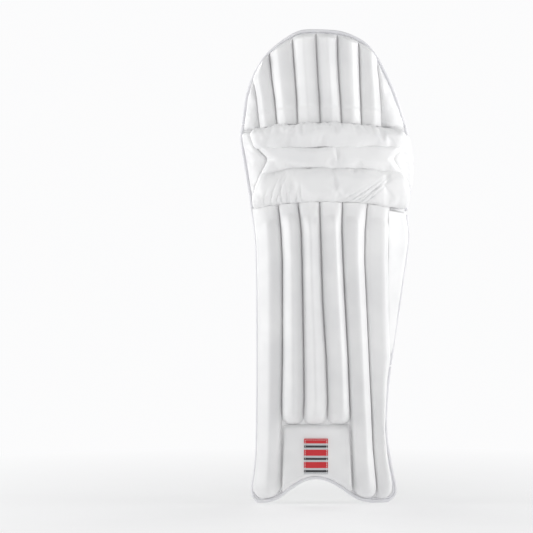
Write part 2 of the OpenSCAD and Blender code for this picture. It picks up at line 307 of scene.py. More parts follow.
def write(mesh, points):
    mesh.vertices.foreach_set("co", np.asarray(points, np.float32).ravel())
    mesh.update()


def grid_faces(rows, columns, start=0):
    index = start + np.arange(rows * columns).reshape(rows, columns)
    quads = [index[:-1, :-1], index[:-1, 1:], index[1:, 1:], index[1:, :-1]]
    return np.stack(quads, axis=-1).reshape(-1, 4)


def patches(name, parts, look, **options):
    """One closed object from several grids of (points, uv); their shared borders are welded."""
    points, faces, uvs, start = [], [], [], 0
    for grid, uv in parts:
        rows, columns = grid.shape[:2]
        quads = grid_faces(rows, columns, start)
        faces.append(quads)
        uvs.append(uv.reshape(-1, 2)[quads - start])
        points.append(grid.reshape(-1, 3))
        start += rows * columns
    return piece(name, np.vstack(points), np.vstack(faces), np.vstack(uvs), look, **options)


def sheet(name, region, front, back, look, skin=pad_skin, lift=None, **options):
    """A closed sheet over a region, between the heights back and front; lift moves the front's z."""
    s, z = region.s, region.z
    front, back = np.broadcast_to(front, s.shape), np.broadcast_to(back, s.shape)
    over = skin(s, z if lift is None else z + lift, front)
    under = skin(s, z, back)
    uv = np.stack([s, z], axis=-1) * MM
    parts = [(over, uv), (under[:, ::-1], uv[:, ::-1])]
    for side in ((slice(None), 0), (slice(None), -1), (0, slice(None)), (-1, slice(None))):
        thick = np.linalg.norm(over[side] - under[side], axis=-1)[:, None]
        uv_under = uv[side] + thick * [0.7, 0.7]
        parts.append((np.stack([over[side], under[side]]), np.stack([uv[side], uv_under])))
    return patches(name, parts, look, **options)


class Region:
    """Grids of s and z between four limits, each a number or a function of the other coordinate."""

    def __init__(self, inner, wing, low, high, step=4.0, ease_s=False):
        def at(limit, other):
            return limit(other) if callable(limit) else np.full_like(other, float(limit))

        middle_z = np.array([0.0]) + (low if not callable(low) else 20.0)
        width = float(np.max(at(wing, middle_z + 60) - at(inner, middle_z + 60)))
        middle_s = np.array([0.0])
        height = float(np.max(at(high, middle_s) - at(low, middle_s)))
        columns = max(8, int(abs(width) / step) + 1)
        rows = max(8, int(abs(height) / step) + 1)
        u, v = np.linspace(0, 1, columns), np.linspace(0, 1, rows)
        if ease_s:
            u = (1 - np.cos(u * math.pi)) / 2
        self.u, self.v = np.meshgrid(u, v)
        z = self.v * height + middle_z
        s = self.u * width
        for _ in range(6):
            s = at(inner, z) + self.u * (at(wing, z) - at(inner, z))
            z = at(low, s) + self.v * (at(high, s) - at(low, s))
        self.s, self.z = s, z
        self.gaps = [s - at(inner, z), at(wing, z) - s, z - at(low, s), at(high, s) - z]

    def crown(self, inner=8.0, wing=8.0, low=8.0, high=8.0):
        """1 inside, falling to 0 at the borders over the given widths along a quarter round."""
        shape = 1.0
        for gap, radius in zip(self.gaps, (inner, wing, low, high)):
            if radius:
                shape = shape * quarter_round(gap / radius)
        return shape


def ripple(a, b, scale, seed, stretch=1.0):
    """Smooth noise, about -1 to 1, whose features are about scale wide; stretch makes them long in b."""
    rng = np.random.default_rng(seed)
    total = 0.0
    for _ in range(8):
        angle, phase = rng.uniform(0, 2 * math.pi, 2)
        wave = 2 * math.pi / (scale * rng.uniform(0.7, 1.8))
        total = total + np.sin(wave * (a * math.cos(angle) + b / stretch * math.sin(angle)) + phase)
    return total / 3.2


def pleats(s, gap, start, stop, pitch, slant, depth, length, seed):
    """Creases that gathers draw in from a border: gap is the distance from it, slant leans them."""
    rng = np.random.default_rng(seed)
    total = 0.0
    for at in np.arange(start, stop, pitch):
        at = at + rng.uniform(-0.4, 0.4) * pitch
        lean = slant + rng.uniform(-0.25, 0.25)
        reach = length * rng.uniform(0.5, 1.3)
        off = s - at - lean * gap
        sharp = np.exp(-np.abs(off) / (0.22 * pitch)) - 0.35 * np.exp(-(np.abs(off) / (0.5 * pitch)) ** 2)
        total = total - depth * rng.uniform(0.6, 1.2) * sharp * np.exp(-(gap / reach) ** 1.5)
    return total


def dent(a, b, at, size):
    """A round dip, 1 at its middle."""
    return np.exp(-((a - at[0]) ** 2 + (b - at[1]) ** 2) / size**2)


def cord(name, path, across, depth, middle_o, look, skin=pad_skin, sides=16, power=2.6, **options):
    """A tube along (s, z) points on a skin, with a rounded section across by depth."""
    path = np.asarray(path, float)
    left = headings(path)[1]
    turn = np.linspace(0, 2 * math.pi, sides + 1)
    a = np.sign(np.cos(turn)) * np.abs(np.cos(turn)) ** (2 / power)
    b = np.sign(np.sin(turn)) * np.abs(np.sin(turn)) ** (2 / power)
    run = run_along(path)
    end = quarter_round(np.minimum(run, run[-1] - run) / min(across, depth))[:, None] * 0.97 + 0.03
    spots = path[:, None, :] + left[:, None, :] * (a * across)[None, :, None] * end[:, :, None]
    height = middle_o + (b * depth)[None, :] * end
    tube = skin(spots[..., 0], spots[..., 1], height)
    around = np.cumsum(np.concatenate([[0], np.hypot(np.diff(a) * across, np.diff(b) * depth)]))
    uv = np.stack(np.broadcast_arrays(run[:, None], around[None, :]), axis=-1) * MM
    parts = [(tube, uv)]
    for row in (0, -1):
        hub = np.broadcast_to(tube[row, :-1].mean(axis=0), tube[row].shape)
        parts.append((np.stack([tube[row], hub]), np.stack([uv[row], uv[row]])))
    return patches(name, parts, look, **options)


def resample(path, pitch):
    """A path's points spaced evenly, about pitch apart."""
    path = np.asarray(path, float)
    run = run_along(path)
    stops = np.linspace(0, run[-1], max(2, int(round(run[-1] / pitch)) + 1))
    return np.stack([np.interp(stops, run, path[:, k]) for k in range(path.shape[1])], axis=1)


def stitches(name, paths, o, look, skin=pad_skin, pitch=3.6, length=2.6, radius=0.35, **options):
    """Rows of short raised threads along (s, z) paths, as one object."""
    turn = np.linspace(0, 2 * math.pi, 7)
    reach = np.array([-1.0, -0.8, 0.0, 0.8, 1.0])
    girth = np.array([0.25, 0.85, 1.0, 0.85, 0.25])
    sink = np.array([-1.1, -0.2, 0.25, -0.2, -1.1])
    parts = []
    for path in paths:
        spots = resample(path, pitch)
        ahead, left = headings(spots)
        for spot, forward, sideways in zip(spots[1:-1], ahead[1:-1], left[1:-1]):
            middle = spot + reach[:, None] * forward * length / 2
            ring = middle[:, None, :] + (girth[:, None] * np.cos(turn) * radius)[..., None] * sideways
            height = o + (sink[:, None] + girth[:, None] * np.sin(turn)) * radius
            tube = skin(ring[..., 0], ring[..., 1], height)
            uv = np.stack(np.broadcast_arrays(reach[:, None], turn[None, :] / 6), axis=-1) * MM
            parts.append((tube, uv))
            for row in (0, -1):
                hub = np.broadcast_to(tube[row].mean(axis=0), tube[row].shape)
                parts.append((np.stack([tube[row], hub]), np.stack([uv[row], uv[row]])))
    return patches(name, parts, look, crease=80, **options)


# ---- Cloth ----

CLOTH_FRAMES = 18
soft = []


def puff(obj, cap, pressure, spare, still):
    """Queues a closed piece for cloth simulation: it swells by up to cap, with spare cloth for wrinkles.
    still takes (points in the row frame, normals) and marks the points that are sewn down."""
    soft.append((obj, cap, pressure, spare, still))


def simulate():
    """Runs the cloth of every queued piece together, caps how far points move, and applies it."""
    scene = bpy.context.scene
    rest = {}
    for obj, cap, pressure, spare, still in soft:
        rest[obj.name] = read(obj.data)
        held = still(rest[obj.name] / MM - ORIGIN, read(obj.data, "normal"))
        group = obj.vertex_groups.new(name="still")
        group.add([int(i) for i in np.flatnonzero(held)], 1.0, "REPLACE")
        cloth = obj.modifiers.new("cloth", "CLOTH")
        settings = cloth.settings
        settings.quality = 5
        settings.mass = 0.25
        settings.tension_stiffness = 12
        settings.compression_stiffness = 12
        settings.shear_stiffness = 4
        settings.bending_stiffness = 0.4
        settings.vertex_group_mass = "still"
        settings.shrink_min = -spare
        settings.use_pressure = True
        settings.uniform_pressure_force = pressure
        settings.effector_weights.gravity = 0
        cloth.point_cache.frame_start = 1
        cloth.point_cache.frame_end = CLOTH_FRAMES
    for step in range(1, CLOTH_FRAMES + 1):
        scene.frame_set(step)
    graph = bpy.context.evaluated_depsgraph_get()
    found = {obj.name: read(obj.evaluated_get(graph).data) for obj, *_ in soft}
    for obj, cap, *_ in soft:
        obj.modifiers.remove(obj.modifiers["cloth"])
        step = found[obj.name] - rest[obj.name]
        size = np.linalg.norm(step, axis=1)[:, None]
        limit = cap * MM * np.tanh(size / (cap * MM)) / np.maximum(size, 1e-9)
        write(obj.data, rest[obj.name] + step * limit)
    scene.frame_set(1)


def refine(obj, levels=1):
    """Applies a subdivision surface to a piece."""
    obj.modifiers.new("refine", "SUBSURF").levels = levels
    obj.modifiers["refine"].boundary_smooth = "PRESERVE_CORNERS"
    graph = bpy.context.evaluated_depsgraph_get()
    mesh = bpy.data.meshes.new_from_object(obj.evaluated_get(graph))
    obj.modifiers.clear()
    old = obj.data
    obj.data = mesh
    bpy.data.meshes.remove(old)


# ---- Materials ----


class Look:
    """A material being made: add() makes a node, and a socket takes a value or another node's output."""

    def __init__(self, name):
        self.material = bpy.data.materials.new(name)
        self.material.use_nodes = True
        self.nodes = self.material.node_tree.nodes
        self.links = self.material.node_tree.links
        self.nodes.clear()
        self.uv = self.split(self.add("TexCoord", output="UV"))
        self.place = self.add("TexCoord", output="Object")

    def add(self, kind, sockets=(), output=0, **settings):
        node = self.nodes.new("ShaderNode" + kind)
        for key, value in settings.items():
            setattr(node, key, value)
        for key, value in dict(sockets).items():
            if isinstance(value, bpy.types.NodeSocket):
                self.links.new(value, node.inputs[key])
            else:
                node.inputs[key].default_value = value
        return node.outputs[output]

    def split(self, vector):
        node = self.nodes.new("ShaderNodeSeparateXYZ")
        self.links.new(vector, node.inputs[0])
        return node.outputs[0], node.outputs[1]

    def math(self, operation, a, b=0.0, c=0.0):
        return self.add("Math", {0: a, 1: b, 2: c}, operation=operation)

    def noise(self, size, detail=3.0, where=None):
        """Noise of 0 to 1 whose features are about size millimetres wide."""
        sockets = {"Vector": where or self.place, "Scale": 1 / (size * MM), "Detail": detail}
        return self.add("TexNoise", sockets)

    def cells(self, size, output="Distance"):
        return self.add("TexVoronoi", {"Vector": self.place, "Scale": 1 / (size * MM)}, output=output)

    def fit(self, value, low, high, to_low=0.0, to_high=1.0):
        sockets = {0: value, 1: low, 2: high, 3: to_low, 4: to_high}
        return self.add("MapRange", sockets)

    def wave(self, run, pitch, phase=0.0):
        """A sine of 0 to 1 along a coordinate in metres, one turn each pitch millimetres."""
        turn = self.math("MULTIPLY_ADD", run, 2 * math.pi / (pitch * MM), phase)
        return self.math("MULTIPLY_ADD", self.math("SINE", turn), 0.5, 0.5)

    def weave(self, pitch):
        """The height of a plain weave's threads, 0 to 1."""
        u, v = self.uv
        over = self.math("MULTIPLY", self.wave(u, pitch), self.wave(v, pitch))
        under = self.math("MULTIPLY", self.wave(u, pitch, math.pi), self.wave(v, pitch, math.pi))
        return self.math("ADD", over, under)

    def scaled(self, value, factor):
        return self.math("MULTIPLY", value, factor)

    def square(self, run, pitch):
        """0 or 1, changing each pitch millimetres along a coordinate."""
        return self.math("FLOORED_MODULO", self.math("FLOOR", self.math("DIVIDE", run, pitch * MM)), 2.0)

    def mix(self, share, a, b):
        def colour(c):
            return c if isinstance(c, bpy.types.NodeSocket) else (*c, 1.0)
        sockets = {0: share, 6: colour(a), 7: colour(b)}
        return self.add("Mix", sockets, output=2, data_type="RGBA")

    def total(self, *terms):
        value = terms[0]
        for term in terms[1:]:
            value = self.math("ADD", value, term)
        return value

    def hollow_shade_and_wear(self, colour, dark, edge_share=0.25):
        """The colour darkened in its hollows as painted shade, with a rubbed wear tone on its ridges."""
        bend = self.add("NewGeometry", output="Pointiness")
        hollow_shade = self.fit(bend, 0.48, 0.40)
        ridge = self.fit(bend, 0.53, 0.62)
        patchy = self.fit(self.noise(14), 0.42, 0.62)
        # Painted shade: the hollows (low pointiness) are mixed half way towards dark
        colour = self.mix(self.math("MULTIPLY", hollow_shade, 0.5), colour, dark)
        rubbed = self.math("MULTIPLY", self.math("MULTIPLY", ridge, patchy), edge_share)
        return self.mix(rubbed, colour, dark)

    def close(self, shader):
        end = self.nodes.new("ShaderNodeOutputMaterial")
        self.links.new(shader, end.inputs["Surface"])
        return self.material

    def done(self, colour, roughness, relief=None, **shading):
        """Closes the material; relief is a height in millimetres."""
        sockets = {"Base Color": colour if isinstance(colour, bpy.types.NodeSocket) else (*colour, 1.0),
                   "Roughness": roughness}
        if relief is not None:
            sockets["Normal"] = self.add("Bump", {"Height": relief, "Distance": MM, "Strength": 1.0})
        for key, value in shading.items():
            sockets[key.replace("_", " ")] = value
        shader = self.add("BsdfPrincipled", sockets)
        return self.close(shader)


def coated_cloth(name, pale, deep, grain=1.1, gloss=0.36, wrinkle=0.12):
    """Polyurethane-coated cloth: a fine leather grain, soft creases and slight clouding."""
    look = Look(name)
    cloud = look.fit(look.noise(55, 2), 0.35, 0.65)
    # Painted shade darkens the cloth's hollows; its ridges get a rubbed wear tone
    colour = look.hollow_shade_and_wear(look.mix(cloud, pale, deep), tuple(0.72 * c for c in deep))
    pores = look.scaled(look.fit(look.cells(grain), 0.0, 0.7), 0.035)
    fine = look.scaled(look.noise(0.5), 0.02)
    creases = look.scaled(look.noise(7, 4), wrinkle)
    shine = look.fit(look.noise(9), 0.3, 0.7, gloss - 0.05, gloss + 0.08)
    return look.done(colour, shine, look.total(pores, fine, creases), Coat_Weight=0.08, Coat_Roughness=0.3)


def woven(name, colour, dark, pitch=1.0, relief=0.12, gloss=0.85, fuzz=0.3):
    """A plain weave whose threads follow the piece."""
    look = Look(name)
    weave = look.weave(pitch)
    tone = look.mix(look.fit(weave, 0.1, 0.8), dark, colour)
    tone = look.mix(look.fit(look.noise(30), 0.4, 0.65, 0.0, 0.22), tone, dark)
    height = look.total(look.scaled(weave, relief), look.scaled(look.noise(0.4), 0.05))
    return look.done(tone, gloss, height, Sheen_Weight=fuzz, Sheen_Roughness=0.5)


def brushed(name, colour, dark, depth=0.5, size=2.2, fuzz=0.6):
    """A napped cloth of small loops."""
    look = Look(name)
    loops = look.fit(look.cells(size), 0.0, 0.8)
    tone = look.mix(look.fit(loops, 0.1, 0.9), colour, dark)
    tone = look.mix(look.fit(look.noise(16), 0.4, 0.6, 0.0, 0.3), tone, dark)
    height = look.total(look.scaled(loops, -depth), look.scaled(look.noise(0.7, 5), depth))
    return look.done(tone, 0.95, height, Sheen_Weight=fuzz, Sheen_Roughness=0.6)


def air_mesh(name, colour, hole):
    """A knitted mesh with rows of small holes set in a diamond pattern."""
    look = Look(name)
    u, v = look.uv
    a = look.wave(look.math("ADD", u, v), 2.6)
    b = look.wave(look.math("SUBTRACT", u, v), 2.6)
    web = look.math("MULTIPLY", a, b)
    open_share = look.fit(web, 0.45, 0.75)
    streak = look.fit(look.noise(5, 4), 0.35, 0.7, 0.0, 0.5)
    tone = look.mix(streak, look.mix(open_share, colour, hole), hole)
    height = look.total(look.scaled(web, -0.6), look.scaled(look.noise(0.6), 0.08))
    return look.done(tone, 0.8, height, Sheen_Weight=0.2)


def ribbed(name, colour, dark, pitch=2.0, fuzz=0.3):
    """A woven tape with ribs across it."""
    look = Look(name)
    u, v = look.uv
    rib = look.wave(v, pitch)
    thread = look.wave(u, 0.8)
    tone = look.mix(look.fit(rib, 0.1, 0.8), dark, colour)
    tone = look.mix(look.scaled(thread, 0.15), tone, dark)
    height = look.total(look.scaled(rib, 0.12), look.scaled(thread, 0.05))
    return look.done(tone, 0.6, height, Sheen_Weight=fuzz, Specular_IOR_Level=0.25)


def checked_webbing(name, shift):
    """Woven webbing with rows of dark and pale squares; shift moves the rows by a share of a square."""
    look = Look(name)
    u, v = look.uv
    row = look.math("ADD", v, shift * 9.2 * MM)
    flip = look.math("FLOORED_MODULO", look.math("ADD", look.square(u, 10.0), look.square(row, 9.2)), 2.0)
    weave = look.weave(1.1)
    dark = look.mix(weave, (0.012, 0.012, 0.015), (0.035, 0.035, 0.04))
    pale = look.mix(weave, (0.5, 0.5, 0.53), (0.74, 0.74, 0.77))
    tone = look.mix(flip, dark, pale)
    height = look.total(look.scaled(weave, 0.18), look.scaled(look.noise(0.5), 0.04))
    return look.done(tone, 0.75, height, Sheen_Weight=0.15)


def striped_patch(name):
    """A plain woven patch with level stripes in red, grey and charcoal."""
    look = Look(name)
    u, v = look.uv
    band = look.math("FLOORED_MODULO", look.math("DIVIDE", v, 18 * MM), 1.0)
    red = look.math("LESS_THAN", band, 0.5)
    thin = look.math("COMPARE", band, 0.75, 0.09)
    weave = look.math("MULTIPLY", look.wave(u, 0.7), look.wave(v, 0.9))
    tone = look.mix(red, (0.62, 0.63, 0.65), (0.66, 0.015, 0.025))
    tone = look.mix(thin, tone, (0.03, 0.03, 0.035))
    tone = look.mix(look.scaled(weave, 0.3), tone, (0.1, 0.1, 0.1))
    return look.done(tone, 0.7, look.scaled(weave, 0.12), Sheen_Weight=0.3)


def hook_tape(name):
    """Hook tape: close rows of stiff plastic hooks."""
    look = Look(name)
    hooks = look.fit(look.cells(1.3), 0.05, 0.6)
    tone = look.mix(hooks, (0.55, 0.56, 0.57), (0.22, 0.22, 0.23))
    return look.done(tone, 0.4, look.scaled(hooks, -0.9))


def wood(name):
    """Split cane: long fibres and darker knots."""
    look = Look(name)
    stretched = look.add("Mapping", {"Vector": look.place, "Scale": (1.0, 1.0, 0.04)})
    fibres = look.noise(1.2, 4, stretched)
    tone = look.mix(fibres, (0.62, 0.45, 0.25), (0.36, 0.22, 0.10))
    return look.done(tone, 0.5, look.scaled(fibres, 0.2))


def moulded(name, colour):
    """Stiff moulded plastic with a fine sparked texture."""
    look = Look(name)
    fleck = look.noise(0.9, 2)
    tone = look.mix(fleck, colour, tuple(0.8 * c for c in colour))
    return look.done(tone, 0.5, look.scaled(fleck, 0.08))


WHITE, WHITE_DEEP = (0.88, 0.88, 0.88), (0.82, 0.82, 0.825)
LIME, LIME_DEEP = (0.27, 0.78, 0.06), (0.18, 0.62, 0.03)
YELLOW_LIME, YELLOW_LIME_DEEP = (0.60, 0.90, 0.06), (0.48, 0.76, 0.03)

cover = coated_cloth("cover", WHITE, WHITE_DEEP)
binding_look = coated_cloth("binding", (0.79, 0.79, 0.81), (0.73, 0.73, 0.755), grain=0.8, wrinkle=0.05)
tab_look = coated_cloth("tab_cloth", (0.80, 0.80, 0.81), (0.74, 0.74, 0.76), grain=0.9, wrinkle=0.04)
lime_coated = coated_cloth("lime_coated", LIME, LIME_DEEP, grain=0.9, gloss=0.38, wrinkle=0.04)
lining_look = woven("lining", (0.77, 0.77, 0.775), (0.68, 0.68, 0.685))
top_lining_look = woven("top_lining", (0.74, 0.73, 0.765), (0.65, 0.64, 0.675))
pillow_look = woven("pillow_cloth", (0.83, 0.83, 0.83), (0.76, 0.76, 0.76), pitch=0.8, relief=0.06)
bolster_look = brushed("bolster_suede", (0.75, 0.75, 0.745), (0.66, 0.66, 0.655), depth=0.08, size=1.2)
towel_look = brushed("towelling", (0.46, 0.46, 0.47), (0.26, 0.26, 0.27), depth=0.7, size=2.4)
mesh_look = air_mesh("air_mesh", (0.52, 0.525, 0.545), (0.22, 0.225, 0.235))
lime_tape = ribbed("lime_tape", YELLOW_LIME, YELLOW_LIME_DEEP, pitch=1.2)
teal_look = ribbed("teal_tape", (0.001, 0.155, 0.245), (0.001, 0.115, 0.185), fuzz=0.0)
webbing_look = checked_webbing("checked_webbing", 0.5)
narrow_look = checked_webbing("narrow_webbing", 0.0)
label_look = striped_patch("striped_patch")
hook_look = hook_tape("hook_tape")
thread_look = woven("thread", (0.82, 0.82, 0.82), (0.7, 0.7, 0.7), pitch=0.5, relief=0.05)
lime_thread = woven("lime_thread", LIME, LIME_DEEP, pitch=0.5, relief=0.05)
wood_look = wood("cane_wood")
plate_look = moulded("plate_plastic", (0.12, 0.12, 0.13))


# ---- Shin, front ----

# Grooves between the shin's bolsters, as (z, x)
SHIN_GROOVES = [
    groove((0, -54), (20, -54), (94, -52.3), (150, -52.8), (215, -51.6), (360, -51.6), (404, -53.8),
           (419, -55.3), (441, -58)),
    groove((118, -22), (153, -20), (215, -20.6), (300, -22), (360, -23), (404, -24.5), (419, -26),
           (441, -29)),
    groove((118, 13.3), (153, 14), (215, 11.8), (300, 6.6), (374, 4.4), (419, 3), (441, 2.5)),
    groove((0, 51.6), (50, 50), (110, 48), (153, 45.7), (215, 43.5), (300, 39), (360, 36), (404, 34.5),
           (441, 35.5)),
    groove((0, 88), (35, 84), (80, 79.6), (153, 76.6), (215, 73.7), (300, 70), (360, 67.3), (404, 68),
           (441, 71.5)),
    groove((0, 112), (60, 101), (110, 96.5), (150, 98.5), (185, 100.5), (215, 105.2),
           (235, 103.5), (374, 103), (441, 104.5))]
CANE_H, LAST_CANE_H = 19.0, 17.5
# Length of the round lower ends, over the instep and at the foot
BULB, FOOT_BULB = 19.0, 23.0
# Length of the flattened tops, and how far down them the gathers pinch
FAN_LENGTH = 38.0
GATHER_DROP = 21.0
# How far the bolsters' tops stand off the knee section that they cover
TUCK = 4.2


def gable(u, ridge=0.0, softness=0.035):
    """A ridge with two nearly flat sides over u of -1 to 1, with rounded feet."""
    t = np.where(u > ridge, (u - ridge) / (1 - ridge), (ridge - u) / (1 + ridge))
    slope = np.sqrt(t**2 + softness**2) - softness
    return (1 - 0.5 * slope) * np.sqrt(np.clip(1 - np.abs(u) ** 9, 0, 1))


def dome(u):
    return np.sqrt(np.clip(1 - np.abs(u) ** 2.4, 0, 1))


def cane(name, left, right, low, high, height, seed, bulb, ridge, **options):
    """A padded bolster between two grooves. It ends in a round bulb below, and flattens into a fan above."""
    base = low if callable(low) else (lambda s: low + 0 * s)
    foot = float(base(np.array([0.0]))[0])
    middle = float(left(np.array([foot]))[0] + right(np.array([foot]))[0]) / 2
    half = float(right(np.array([foot]))[0] - left(np.array([foot]))[0]) / 2

    def rounded_low(s):
        return base(s) + 0.4 * bulb * np.clip(np.abs((s - middle) / half), 0, 1) ** 3.5

    region = Region(moved(left, GROOVE_GAP), moved(right, -GROOVE_GAP), rounded_low, high, step=1.6,
                    ease_s=True)
    u = region.u * 2 - 1
    _, _, from_low, from_high = region.gaps
    shape = gable(u, ridge)
    tall = np.ones_like(u)
    share = np.clip(1 - from_low / (bulb * 1.7), 0, 1) ** 1.2
    shape = shape * (1 - share) + dome(u) * 0.86 * share
    tall = tall * np.sqrt(np.clip(1 - np.clip(1 - from_low / bulb, 0, 1) ** 2.2, 0.0, 1))
    share = np.clip(1 - from_high / FAN_LENGTH, 0, 1)
    share = share * share * (3 - 2 * share)
    shape = shape * (1 - share) + gable(u, ridge, 0.5) * share
    tall = tall * (1 - 0.30 * share)
    drop = GATHER_DROP + 4.0 * ripple(region.s, 0 * region.s, 22, seed + 3)
    tall = tall * (1 - 0.13 * np.exp(-((from_high - drop) / 7.0) ** 2))
    tall = tall * np.sqrt(np.clip(from_high / 1.5, 0.02, 1))
    creases = ripple(region.s, region.z, 7, seed, stretch=0.6) * np.exp(-from_low / 9) * 0.7
    pucker = ripple(region.s, region.z, 5, seed + 1, stretch=3.0) * np.exp(-from_high / 7) * 0.6
    soft_waves = ripple(region.s, region.z, 60, seed + 2, stretch=3.0) * 0.35
    relief = (creases + pucker + soft_waves) * np.clip(shape, 0, 1) * tall
    front = BASE_O - 0.2 + height * shape * tall + relief
    back = BASE_O - 0.7 + TUCK * np.clip((region.z - SHIN_TOP + 3) / 5, 0, 1)
    front = np.maximum(front, back + 0.6)
    return sheet(name, region, front, back, cover, slot="cover", crease=75, **options)


# Where the wing's pointed lower end gives way to its full width
WING_TIP = WING_LOW + 22


def bend_over(obj):
    """Bakes a piece's placement into its mesh."""
    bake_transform(obj)


def core_wing(z):
    """The shin's wing side: the rim below the wing, and the wing's crease beside it."""
    return np.minimum(wing_s(z) - EDGE_INSET, np.where(z < WING_TIP, np.inf, along(WING_X) + 0 * z))


core = Region(moved(inner_s, EDGE_INSET), core_wing, moved(foot_z, EDGE_INSET), SHIN_TOP, step=4)
sheet("shin_core", core, BASE_O, CORE_BACK_O, cover, ride="shin", slot="cover", replaces=["shin_backing"])

cane_edges = [moved(inner_s, 4.6)] + SHIN_GROOVES
# Each bolster's name, its CAD node and where its ridge lies, from -1 to 1
MIDDLE_NODE = "shin_bolsters_middle"
WING_NODE = "shin_bolsters_wing"
CANES = [("inner", "shin_bolster_inner", 0.28), ("middle_1", MIDDLE_NODE, 0.14),
         ("middle_2", MIDDLE_NODE, 0.0), ("middle_3", MIDDLE_NODE, 0.24), ("wing_1", WING_NODE, 0.1),
         ("wing_2", WING_NODE, 0.26)]
CANE_LOW, CANE_TOP = 117.5, moved(LOW_LINE, 1.4)
for number, (name, node, ridge) in enumerate(CANES):
    foot, bulb = (CANE_LOW, BULB) if node == MIDDLE_NODE else (moved(foot_z, 5.5), FOOT_BULB)
    height = LAST_CANE_H if name == "wing_2" else CANE_H
    obj = cane("cane_" + name, cane_edges[number], cane_edges[number + 1], foot, CANE_TOP, height,
               seed=10 + number, bulb=bulb, ridge=ridge, replaces=[node])
    bend_over(obj)

# The instep panel's top edge, its height there, and how fast it rises towards the foot
PANEL_TOP, PANEL_H, PANEL_TILT = 117.0, 7.0, 5.0 / 90


def panel_slope(z):
    """How much further out the instep panel stands below its top."""
    return PANEL_TILT * (PANEL_TOP - z)


panel = Region(moved(SHIN_GROOVES[0], 0.6), moved(SHIN_GROOVES[3], -0.6), moved(foot_z, 5.0), PANEL_TOP,
               step=2.4)
panel_front = BASE_O + (PANEL_H + panel_slope(panel.z)) * panel.crown(6, 6, 8, 9)
panel_front = panel_front + 0.35 * ripple(panel.s, panel.z, 26, 4)
panel_front = panel_front + 0.6 * ripple(panel.s, panel.z, 7, 5, 2.0) * np.exp(-panel.gaps[3] / 8)
instep = sheet("instep_panel", panel, panel_front, BASE_O - 0.5, cover, ride="shin", slot="cover",
               replaces=["instep_panel"])


# ---- Bindings ----


def rim_path(points, inset):
    """(s, z) points of an outline part, moved inwards by inset and spaced evenly."""
    points = np.asarray(points, float)
    path = resample(np.stack([along(points[:, 0], 1.0), points[:, 1]], axis=1), 3.0)
    return path + headings(path)[1] * inset


def between(points, low, high):
    """The part of an outline between two heights, cut exactly there."""
    z = points[:, 1]
    rising = z[-1] > z[0]
    order = points if rising else points[::-1]
    stops = np.unique(np.concatenate([[low], order[(order[:, 1] > low) & (order[:, 1] < high), 1], [high]]))
    cut = np.stack([np.interp(stops, order[:, 1], order[:, 0]), stops], axis=1)
    return cut if rising else cut[::-1]


# Half the binding's width, half its depth, and the height of its middle
RIM_ACROSS, RIM_DEPTH, RIM_O = 3.0, 7.4, -4.2
rim_parts = {
    "shin_binding": ("shin", "shin_piping", np.vstack([
        between(INNER_EDGE, 0, SHIN_TOP), ARCH, between(WING_EDGE, 0, WING_LOW + 2)])),
    "wing_binding": ("wing", "wing_piping", between(WING_EDGE, WING_LOW, WING_TOP)),
    "knee_binding_wing": ("knee", "knee_piping", between(WING_EDGE, KNEE_LOW, KNEE_TOP)),
    "knee_binding_inner": ("knee", "knee_piping", between(INNER_EDGE, KNEE_LOW, KNEE_TOP)),
    "top_binding": ("top", "top_piping", np.vstack([
        between(WING_EDGE, TOP_LOW, PAD_H), between(INNER_EDGE, TOP_LOW, PAD_H)[1:]]))}
for name, (body, node, outline) in rim_parts.items():
    path = rim_path(outline, RIM_ACROSS)
    cord(name, path, RIM_ACROSS, RIM_DEPTH, RIM_O, binding_look, ride=body, slot="piping", replaces=[node])
    seam = rim_path(outline, 2 * RIM_ACROSS + 1.0)
    cord(name.replace("binding", "bead"), seam, 0.9, 1.0, BASE_O + 0.6, binding_look, ride=body,
         slot="piping", sides=8)


# ---- Wing ----


def crossing_wing(obj):
    """Bakes a piece's placement into its mesh; the crease's two ends beside the wing are worked out but not
    used.
    """
    start, end = pad_skin(np.array([along(WING_X - 2), along(WING_X + 12)]), np.array([300.0, 300.0]), 0.0)
    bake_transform(obj)


def wing_inner(z):
    return along(WING_X - 2.0) + 0 * z


wing_high = line((along(100), 435.5), (along(138), WING_TOP - 1.0))
wing = Region(wing_inner, moved(wing_s, -EDGE_INSET), WING_TIP - 4, wing_high, step=3.0)
slope = 5.0 + 5.5 * np.exp(-wing.gaps[0] / 14)
wing_front = BASE_O + 0.4 + slope * wing.crown(0, 26, 24, 4) + 0.5 * ripple(wing.s, wing.z, 50, 21, 2.5)
wing_cover = sheet("wing_cover", wing, wing_front, CORE_BACK_O, cover, slot="cover", replaces=["wing_panel"])
wing_back = sheet("wing_lining", wing, CORE_BACK_O - 0.2, LINING_O - 0.5 * wing.crown(14, 14, 14, 14),
                  lining_look, slot="lining", replaces=["wing_lining"])


# ---- Knee, front ----

# Pieces that get sharp gathers once they are soft: (piece, height over (s, z), o from which it shows, side)
gathered = []

SEAM_INNER = line((436, along(-93)), (448, along(-91.5)), (470, along(-85.5)), (492, along(-76.6)),
                  (507, along(-70.8)), (511.5, along(-73.7)), (529, along(-88.4)), (544, along(-94)),
                  (552, along(-92)))
SEAM_WING = line((436, along(123.5)), (455, along(122)), (478, along(118)), (492, along(110.6)),
                 (507, along(103.2)), (519, along(109)), (536, along(116.4)), (552, along(117.5)))
# Where the rolls start, how deep they are, how far they run into each other, and how far a roll's
# face swells over its seams, as a share of the distance from its middle
ROLL_O, ROLL_H, ROLL_OVERLAP, ROLL_SWELL = 3.2, 31.0, 0.8, 0.07
# The two seams between the three rolls
HARD_SEAM = crease_line((-75, 485.5), (-40, 492), (5, 494.5), (60, 492.5), (110, 488.5))
SOFT_SEAM = crease_line((-90, 525), (0, 524.5), (115, 526))


def roll_low(s):
    return LOW_LINE(s) + 0.6 * ripple(s, 0 * s, 15, 44)


def roll_top(s):
    return HIGH_LINE(s) + 0.4 + 1.2 * ripple(s, 0 * s, 10, 45)


